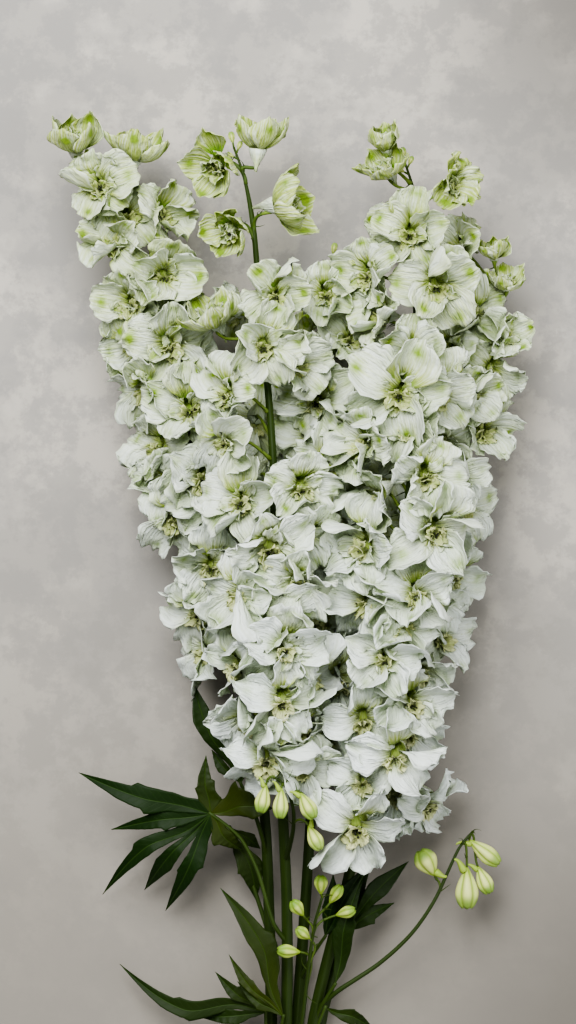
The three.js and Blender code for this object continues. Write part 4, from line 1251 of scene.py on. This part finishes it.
# Rows and columns of points in a lobe, and steps along a leaf's stalk
LOBE_GRID = (48, 11)
LEAF_STALK_STEPS = 24
# How a lobe is joined to the next one, and how its two halves fold up from the midrib
LOBE_FREE_ANGLE = 0.6
NOTCH_DEPTH = 0.32
OUTER_NOTCH_DEPTH = 0.17
LEAF_FOLD = 0.24
FOLD_REACH = 6


def lobe_half_width(a, v, length, width, sides):
    """Half width of a lobe along it, on its left (v > 0) and its right: one with its neighbour out to the
    notch, and then its own toothed outline."""
    half = np.zeros_like(a)
    for near, outline, (gap, notch) in ((v > 0, LOBE_LEFT, sides[0]), (v <= 0, LOBE_RIGHT, sides[1])):
        web = a * length * math.tan(gap / 2)
        free = np.minimum(np.interp(a, *zip(*outline)) * width, np.maximum(web, 3))
        at = notch * math.cos(gap / 2) / length
        share = ease((a - at) / 0.16)
        own = (1 - share) * notch * math.sin(gap / 2) + share * free
        half = np.where(near, np.where(a < at, 1.03 * web, own), half)
    return half


def add_lobe(growth, base, lobe, sides, olive, thickness, seed):
    """Adds one pointed lobe of a leaf, toothed on both sides, with a folded midrib and a waved edge."""
    rows, columns = LOBE_GRID
    a, v = np.meshgrid(np.linspace(0, 1, rows), np.linspace(-1, 1, columns), indexing="ij")
    tip, (width, sag, bend) = np.array(lobe[:3], float), lobe[3:]
    run = tip - base
    length = np.linalg.norm(run)
    side = unit([-run[1], run[0], 0])
    saw = 1 + 0.015 * np.sin(2 * math.pi * (a * 7 + draw(seed))) * np.abs(v)
    half = lobe_half_width(a, v, length, width, sides) * saw
    out = ease((a - 0.12) / 0.4)
    forward = a + 0.05 * np.minimum(half / width, 1) * v * v * (1 - a) * out
    curl = 0.07 * width * np.sin(2 * math.pi * (1.3 * a + draw(seed + 1))) * v * np.abs(v)
    height = sag * np.sin(math.pi * a) * out + LEAF_FOLD * np.minimum(half, FOLD_REACH) * np.abs(v)
    height = height + 2 * curl * (1 - a) * out
    from_vein = 2 * math.pi * (forward * length - VEIN_SLANT * half) / VEIN_STEP
    height = height + 0.35 * np.sin(from_vein) * np.abs(v) * out
    bow = bend * length * np.sin(math.pi * a) * out
    middle = base + forward[..., None] * run + ((v * half) + bow)[..., None] * side
    middle[..., 2] += height + run[2] * (forward**1.4 - forward)
    grain = np.stack([forward * length, v * half, np.full_like(a, 9 * draw(seed + 3))], axis=-1)
    leans = np.clip(olive * (1.2 - 0.6 * a) * spread(seed + 4, 0.75, 1.2), 0, 1)
    tint = np.stack([leans, np.abs(v), np.full_like(a, draw(seed + 5))], axis=-1)
    add_sheet(growth, middle, thickness, grain, tint, 0)


def add_leaf(growth, plan, thickness, seed):
    """Adds a leaf: its stalk from the stem to the blade, and the lobes of the blade."""
    line = smooth_line([point_at_y(plan["on"], plan["foot"])] + plan["stalk"], LEAF_STALK_STEPS)
    radii = np.linspace(1.7, 1.15, LEAF_STALK_STEPS + 1)
    add_tube(growth, line, radii, 8, (plan["olive"], 0.15, 0.5), 1)
    base = line[-1] - 1.5 * unit(line[-1] - line[-2])
    runs = [np.array(lobe[:3], float) - base for lobe in plan["lobes"]]
    angles = [math.atan2(run[1], run[0]) % (2 * math.pi) for run in runs]
    lengths = [np.linalg.norm(run) for run in runs]
    # The angle and the notch between each lobe and the next, with the free sides of the first and the last
    gaps = [(LOBE_FREE_ANGLE, OUTER_NOTCH_DEPTH * lengths[0])]
    for i in range(len(runs) - 1):
        gaps.append((angles[i + 1] - angles[i], NOTCH_DEPTH * min(lengths[i], lengths[i + 1])))
    gaps.append((LOBE_FREE_ANGLE, OUTER_NOTCH_DEPTH * lengths[-1]))
    for i, lobe in enumerate(plan["lobes"]):
        lifted = base + np.array([0, 0, 0.05 * i])
        olive = plan.get("olive_lobes", {}).get(i, plan["olive"])
        add_lobe(growth, lifted, lobe, (gaps[i + 1], gaps[i]), olive, thickness, seed + 11 * i)


class DELPHINIUM_OT_leaves(bpy.types.Operator):
    """Grow the leaves, each on its own stalk"""

    bl_idname = "delphinium.leaves"
    bl_label = "Leaves"

    def execute(self, context):
        greens = context.scene.delphinium_greens
        stalk_skin = stalk_finish("leaf_stalk_green", tuple(greens.stem), linear(0x5A7430))
        finishes = [leaf_finish(greens), stalk_skin]
        for order, (name, plan) in enumerate(LEAVES.items()):
            growth = Growth()
            add_leaf(growth, plan, greens.leaf_thickness / MM, LEAF_SEED + 60 * order)
            growth.piece(f"veined_{name}", finishes, name)
        return {"FINISHED"}


# Points round a bud and rings along it
BUD_SIDES = 40
BUD_RINGS = 17
# A bud longer than this has a spur, with these radii along it against the bud's width
SPURRED_FROM = 17
SPUR_TAPER = np.array([0.17, 0.16, 0.14, 0.115, 0.09, 0.075, 0.06, 0.04])


def add_bud(growth, centre, length, width, way, neck_way, seed, finish=0, green=0.12):
    """Adds a closed bud: five sepals folded together, with grooves between them and a short spur. green is
    how far even its ribs are green."""
    sides, count = BUD_SIDES, BUD_RINGS
    way = unit(way)
    t = np.linspace(0, 1, count)
    angles = np.linspace(0, 2 * math.pi, sides, endpoint=False)
    body = 0.5 * width * np.sin(math.pi * np.clip(0.05 + 0.9 * t, 0, 1) ** 1.6) ** 0.6
    groove = np.abs(np.cos(2.5 * angles)) ** 0.65
    fade = np.sin(math.pi * np.clip(t * 1.02, 0, 1)) ** 0.4
    reach = body[:, None] * (1 - 0.24 * fade[:, None] * (1 - groove)[None, :])
    line = centre + (t[:, None] - 0.5) * length * way
    first, second = frames_along(line)
    push = 0.05 * length * ease((t - 0.75) / 0.25)[:, None] * groove[None, :]
    rings = (
        line[:, None]
        + (reach * np.cos(angles))[..., None] * first[:, None]
        + (reach * np.sin(angles))[..., None] * second[:, None]
        + push[..., None] * way
    )
    tip = 0.95 * ease((t - 0.64) / 0.24)[:, None] * (0.45 + 0.55 * groove)[None, :]
    rib = green + (0.9 * (1 - groove))[None, :] + 0.8 * ease((0.34 - t) / 0.34)[:, None]
    tint = np.stack([tip * spread(seed, 0.65, 1), rib, np.full_like(tip, draw(seed + 1))], axis=-1)
    grain = np.empty((count, sides, 3))
    grain[..., 0] = (t * length)[:, None]
    grain[..., 1] = (width * np.sin(angles))[None, :]
    grain[..., 2] = 7 * draw(seed + 2)
    add_rings(growth, rings, [line[0], line[-1]], grain, tint, finish)
    if length > SPURRED_FROM:
        root = centre - 0.4 * length * way + 0.12 * width * neck_way
        back = unit(-way + 0.55 * neck_way)
        end = root + 0.36 * length * back + 0.1 * length * neck_way
        spur = arch(root, 0.2 * length * back, end, 0.12 * length * neck_way, len(SPUR_TAPER) - 1)
        add_tube(growth, spur, width * SPUR_TAPER, 8, (0, 0.9, 0.4), finish)


def add_spike_tip(growth, line, seed):
    """Ends a rachis in three small closed buds with thread-like bracts."""
    heading = unit(line[-1] - line[-4])
    sideways = unit(np.cross(heading, [0, 0, 1.0]))
    for k, (lean, along, length) in enumerate(((0.15, 0, 8), (0.9, -5, 6.5), (-0.9, -9, 6))):
        way = unit(heading + lean * sideways + np.array([0, 0, spread(seed + k, -0.1, 0.5)]))
        root = line[-1] + along * heading
        neck = root + 3.5 * way
        add_tube(growth, np.array([root, (root + neck) / 2, neck]), 0.8, 6, (0, 0.5, 0.5), 0)
        add_bud(growth, neck + 0.42 * length * way, length, 0.62 * length, way, sideways, seed + 3 * k, 1)
        bend = unit(lean * sideways + heading)
        add_bract(growth, root, way, bend, 8, 0.4, (0, 0.2, 0.5), 0)


# Steps along the stalk of a spray
SPRAY_STEPS = 48


def add_spray_bud(growth, line, bud, seed, green):
    """Adds one bud of a spray, with its pedicel from the spray's stalk and the bracts on that."""
    x, y, z, length, width, way, leaves_at = bud
    centre = np.array([x, y, z], float)
    way = unit(way)
    neck = centre - 0.46 * length * way
    at = leaves_at * SPRAY_STEPS
    start = point_on(line, np.arange(len(line)), at)
    distance = np.linalg.norm(neck - start)
    heading = unit(line[min(int(at) + 1, SPRAY_STEPS)] - line[max(int(at) - 1, 0)])
    stalk = arch(start, 0.5 * distance * heading, neck, 0.5 * distance * way, 10)
    add_tube(growth, stalk, np.linspace(1.0, 0.8, 11), 7, (0, 0.35, 0.5), 1)
    aside = np.cross(way, [0, 0, 1.0])
    neck_way = unit(aside * (1 if draw(seed) > 0.5 else -1) + np.array([0, 0, 0.35]))
    add_bud(growth, centre, length, width, way, neck_way, seed, green=green)
    for step, reach in ((0, 10), (7, 5), (8, 5)):
        loose = loose_way(seed + step, (-1, -0.4, -0.2))
        bend = unit([spread(seed + step + 3, -1, 1), spread(seed + step + 4, -1, 1), 0.2])
        add_bract(growth, stalk[step], loose, bend, reach, 0.42, (0, 0.2, 0.5), 1)


class DELPHINIUM_OT_buds(bpy.types.Operator):
    """Grow the sprays of buds and the side shoot"""

    bl_idname = "delphinium.buds"
    bl_label = "Sprays of buds"

    def execute(self, context):
        greens = context.scene.delphinium_greens
        stalk_skin = stalk_finish("spray_stalk_green", tuple(greens.stem), linear(0x6B8434))
        finishes = [bud_finish(greens, "bud_satin_green"), stalk_skin]
        for order, (name, plan) in enumerate(SPRAYS.items()):
            growth = Growth()
            line = smooth_line([point_at_y(plan["on"], plan["foot"])] + plan["stalk"], SPRAY_STEPS)
            radii = np.linspace(1.8, 0.95, SPRAY_STEPS + 1)
            add_tube(growth, line, radii, 10, (0, 0.02, 0.5), 1, ribs=5, rib_depth=0.06)
            for k, bud in enumerate(plan["buds"]):
                add_spray_bud(growth, line, bud, SPRAY_SEED + 20 * order + k, plan["green"])
            growth.piece(f"spray_{name}", finishes, name)
        return {"FINISHED"}


TIE_WIDTH = 14
TIE_STRANDS = 7
TIE_STEPS = 96
# Outline of the band over the five stems: half width at the bottom and at the top, and its lowest and
# highest z
TIE_BOTTOM, TIE_TOP, TIE_LOW, TIE_HIGH = 17.4, 12.6, 1.5, 24.9
# Section of a strand: how far each corner lies along the stems and out from them, and its place in the fibres
STRAND_SECTION = [
    [-1.15, -0.35, -1.1], [0, -0.2, 0], [1.15, -0.35, 1.1], [1.15, 0.2, 1.3], [0.4, 0.5, 0.4],
    [-0.4, 0.35, -0.4], [-1.15, 0.2, -1.3],
]


def add_strand(growth, strand):
    """Winds one strand of the tie round the stems."""
    angles = np.linspace(0, 2 * math.pi, TIE_STEPS, endpoint=False)
    shift = (strand - (TIE_STRANDS - 1) / 2) * TIE_WIDTH / TIE_STRANDS
    slant = spread(strand + 40, -1.2, 1.2)
    swell = spread(strand + 50, 0, 0.5)
    square = (np.abs(np.cos(angles)) ** 5 + np.abs(np.sin(angles)) ** 5) ** (-1 / 5)
    z = (TIE_LOW + TIE_HIGH) / 2 + square * np.sin(angles) * ((TIE_HIGH - TIE_LOW) / 2 + swell)
    share = np.clip((z - TIE_LOW) / (TIE_HIGH - TIE_LOW), 0, 1)
    x = square * np.cos(angles) * (TIE_BOTTOM + (TIE_TOP - TIE_BOTTOM) * share)
    y = TIE_Y + shift + slant * np.sin(angles) + 0.3 * np.sin(5 * angles + strand)
    loop = np.stack([x, y, z], axis=-1)
    outwards = np.stack([np.cos(angles), np.zeros(TIE_STEPS), np.sin(angles)], axis=-1)
    corners = [loop + np.array([0, along, 0]) + out * outwards for along, out, _ in STRAND_SECTION]
    add_band(growth, np.stack(corners, axis=1), draw(strand + 60))


def add_knot(growth):
    """Knots the tie on top, with its two loose tails."""
    top = np.array([-2, TIE_Y, TIE_HIGH + 1.2])
    turns = np.linspace(0, 2 * math.pi, 15)
    knot = top + np.stack([2.6 * np.cos(turns), 5 * np.sin(turns), 0.5 * np.sin(2 * turns)], axis=-1)
    add_tube(growth, knot, 1.5, 8, (0, 0, 0.6), 0)
    for aside, length in ((1, 26), (-1, 20)):
        end = top + np.array([aside * length * 0.5, aside * 8 + 22, -3.0])
        tail = arch(top, np.array([aside * 6, 3, 1.5]), end, np.array([0, 6, -4.0]), 14)
        add_ribbon(growth, tail, 1.3, 0.5, 0.3 + 0.4 * (aside > 0))


class DELPHINIUM_OT_tie(bpy.types.Operator):
    """Wind the raffia tie round the stems and knot it on top"""

    bl_idname = "delphinium.tie"
    bl_label = "Raffia tie"

    def execute(self, context):
        growth = Growth()
        for strand in range(TIE_STRANDS):
            add_strand(growth, strand)
        add_knot(growth)
        growth.piece("raffia_tie", [raffia_finish(context.scene.delphinium_greens)], "tie")
        return {"FINISHED"}


def add_band(growth, rings, chance):
    """Adds one closed strand from its sections (sections, corners, 3), the last joined to the first."""
    count, sides = rings.shape[:2]
    index = np.arange(count * sides).reshape(count, sides)
    ahead = np.roll(index, -1, axis=0)
    corners = [index, ahead, np.roll(ahead, -1, axis=1), np.roll(index, -1, axis=1)]
    walls = np.stack(corners, axis=-1).reshape(-1, 4)
    grain = np.empty((count, sides, 3))
    grain[..., 0] = (np.arange(count) * 1.1)[:, None]
    grain[..., 1] = np.array(STRAND_SECTION)[None, :, 2]
    grain[..., 2] = 9 * chance
    tint = np.tile([0, 0, chance], (count * sides, 1))
    growth.add(rings.reshape(-1, 3), [walls], grain.reshape(-1, 3), tint, 0)


def add_ribbon(growth, line, width, thickness, chance):
    """Adds a flat closed ribbon along a line, lying level."""
    heading = np.gradient(line, axis=0)
    side = np.cross(heading, [0, 0, 1.0])
    side /= np.linalg.norm(side, axis=1, keepdims=True)
    v = np.linspace(-1, 1, 5)
    middle = line[:, None] + (v * width)[None, :, None] * side[:, None]
    middle[..., 2] += 0.3 * np.cos(v * 3)[None, :]
    grain = np.empty(middle.shape)
    grain[..., 0] = (np.arange(len(line)) * 2.0)[:, None]
    grain[..., 1] = (v * width)[None, :]
    grain[..., 2] = 9 * chance
    add_sheet(growth, middle, thickness, grain, (0, 0, chance), 0)


# What the camera frames, in millimetres: the middle and the height of its picture, where that height holds,
# and the height of its sensor
VIEW_CENTRE_Y = 358.4
VIEW_HEIGHT = 716.8
VIEW_PLANE_Z = 70
SENSOR = 36
# Each light's place from the middle of the view, and its side, in metres
KEY_PLACE = Vector((-0.4, 0.95, 1.75))
KEY_SIDE = 1.3
FILL_PLACE = Vector((1.4, -0.6, 1.3))
FILL_SIDE = 1.8
STUDIO_LIGHT = (0.88, 0.88, 0.87, 1)
STUDIO_STRENGTH = 0.29
CONTRAST = "AgX - Medium High Contrast"
EXPOSURE = -0.4
# The floor, in metres, and how fine and how rough each of its two mottlings is
FLOOR_REACH = 6
FLOOR_Z = -0.0002
MOTTLINGS = ((26, 0.7), (8, 0.62))


class DELPHINIUM_OT_stage(bpy.types.Operator):
    """Set out the floor, the soft light and the camera that looks down on the bunch"""

    bl_idname = "delphinium.stage"
    bl_label = "Floor, light and camera"

    def execute(self, context):
        stage = context.scene.delphinium_stage
        middle = Vector(LAYOUT_ORIGIN) + Vector((0, VIEW_CENTRE_Y * MM, 0))
        self.add_floor(stage, middle)
        self.add_light(context, "key", middle + KEY_PLACE, middle, KEY_SIDE, stage.key_power)
        self.add_light(context, "fill", middle + FILL_PLACE, middle, FILL_SIDE, stage.fill_power)
        world = bpy.data.worlds.new("studio")
        world.use_nodes = True
        world.node_tree.nodes["Background"].inputs[0].default_value = STUDIO_LIGHT
        world.node_tree.nodes["Background"].inputs[1].default_value = STUDIO_STRENGTH
        context.scene.world = world
        lens = bpy.data.cameras.new("camera")
        lens.sensor_fit = "VERTICAL"
        lens.sensor_height = SENSOR
        lens.sensor_width = SENSOR
        distance = stage.camera_height - VIEW_PLANE_Z * MM
        lens.lens = SENSOR * distance / (VIEW_HEIGHT * MM)
        camera = bpy.data.objects.new("camera", lens)
        camera.location = middle + Vector((0, 0, stage.camera_height - middle.z))
        context.scene.collection.objects.link(camera)
        context.scene.camera = camera
        context.scene.view_settings.look = CONTRAST
        context.scene.view_settings.exposure = EXPOSURE
        return {"FINISHED"}

    def add_floor(self, stage, middle):
        """Adds the wide pale surface: matt plaster, mottled in grey, with painted shade that darkens it
        towards its near end and in the corners on its right side.
        """
        finish, tree, output = new_finish("surface_matt_plaster")
        place = add_node(tree, "ShaderNodeTexCoord").outputs["Object"]
        grey = tuple(part * share for part, share in zip(stage.floor, (0.56, 0.58, 0.62)))
        body = tuple(stage.floor)
        for scale, roughness in MOTTLINGS:
            noise = {"Scale": scale, "Detail": 6, "Roughness": roughness}
            cloud = add_node(tree, "ShaderNodeTexNoise", noise, {"Vector": place}).outputs[0]
            body = mixed(tree, ramped(tree, cloud, 0.44, 0.56, 0, 0.55), body, grey)
        aside, far, _ = add_node(tree, "ShaderNodeSeparateXYZ", links={0: place}).outputs
        # Painted shade: the floor's colour is darkened towards its near end, standing in for light that falls
        # off there
        painted_falloff_shade = tuple(part * share for part, share in zip(stage.floor, (0.5, 0.49, 0.47)))
        body = mixed(tree, ramped(tree, far, 0.3, -0.26, 0, 0.9), body, painted_falloff_shade)
        # Painted shade: further darkened in the corners on its right side, away from the middle
        from_middle = figure(tree, "ABSOLUTE", figure(tree, "SUBTRACT", far, 0.12))
        ends = ramped(tree, from_middle, 0.12, 0.4)
        corner = figure(tree, "MULTIPLY", ends, ramped(tree, aside, 0.02, 0.24))
        body = dyed(tree, body, corner, 0.8, tuple(0.5 * part for part in painted_falloff_shade))
        surface = add_node(tree, "ShaderNodeBsdfPrincipled", {"Roughness": 0.9}, {"Base Color": body})
        tree.links.new(surface.outputs[0], output.inputs[0])
        mesh = bpy.data.meshes.new("floor")
        ways = ((-1, -1), (1, -1), (1, 1), (-1, 1))
        corners = [(middle.x + FLOOR_REACH * i, middle.y + FLOOR_REACH * j, FLOOR_Z) for i, j in ways]
        mesh.from_pydata(corners, [], [(0, 1, 2, 3)])
        mesh.materials.append(finish)
        floor = bpy.data.objects.new("floor", mesh)
        bpy.context.scene.collection.objects.link(floor)

    def add_light(self, context, name, place, target, side, power):
        """Adds a soft square light that points at the bunch."""
        lamp = bpy.data.lights.new(name, "AREA")
        lamp.size = side
        lamp.energy = power
        made = bpy.data.objects.new(name, lamp)
        made.location = place
        made.rotation_euler = (target - place).to_track_quat("-Z", "Y").to_euler()
        context.scene.collection.objects.link(made)


class DELPHINIUM_PT_bunch(bpy.types.Panel):
    """The bunch, piece by piece"""

    bl_label = "Delphinium bunch"
    bl_idname = "DELPHINIUM_PT_bunch"
    bl_space_type = "VIEW_3D"
    bl_region_type = "UI"
    bl_category = "Delphinium"

    def draw(self, context):
        for group in ("delphinium_petals", "delphinium_greens", "delphinium_stage"):
            settings = getattr(context.scene, group)
            for name in settings.__annotations__:
                self.layout.prop(settings, name)
        for operator in OPERATORS:
            self.layout.operator(operator.bl_idname)


GROUPS = {
    "delphinium_petals": DelphiniumPetals,
    "delphinium_greens": DelphiniumGreens,
    "delphinium_stage": DelphiniumStage,
}
OPERATORS = (
    DELPHINIUM_OT_stage,
    DELPHINIUM_OT_heads,
    DELPHINIUM_OT_cups,
    DELPHINIUM_OT_stems,
    DELPHINIUM_OT_leaves,
    DELPHINIUM_OT_buds,
    DELPHINIUM_OT_tie,
)


def register():
    """Registers the settings, the operators and the panel."""
    for name, group in GROUPS.items():
        bpy.utils.register_class(group)
        setattr(bpy.types.Scene, name, bpy.props.PointerProperty(type=group))
    for kind in (*OPERATORS, DELPHINIUM_PT_bunch):
        bpy.utils.register_class(kind)


def unregister():
    """Takes out what register put in."""
    for kind in (DELPHINIUM_PT_bunch, *reversed(OPERATORS)):
        bpy.utils.unregister_class(kind)
    for name, group in GROUPS.items():
        delattr(bpy.types.Scene, name)
        bpy.utils.unregister_class(group)


def main():
    """Grows the whole bunch."""
    register()
    bpy.ops.delphinium.stage()
    bpy.ops.delphinium.heads()
    bpy.ops.delphinium.cups()
    bpy.ops.delphinium.stems()
    bpy.ops.delphinium.leaves()
    bpy.ops.delphinium.buds()
    bpy.ops.delphinium.tie()


if __name__ == "__main__":
    main()
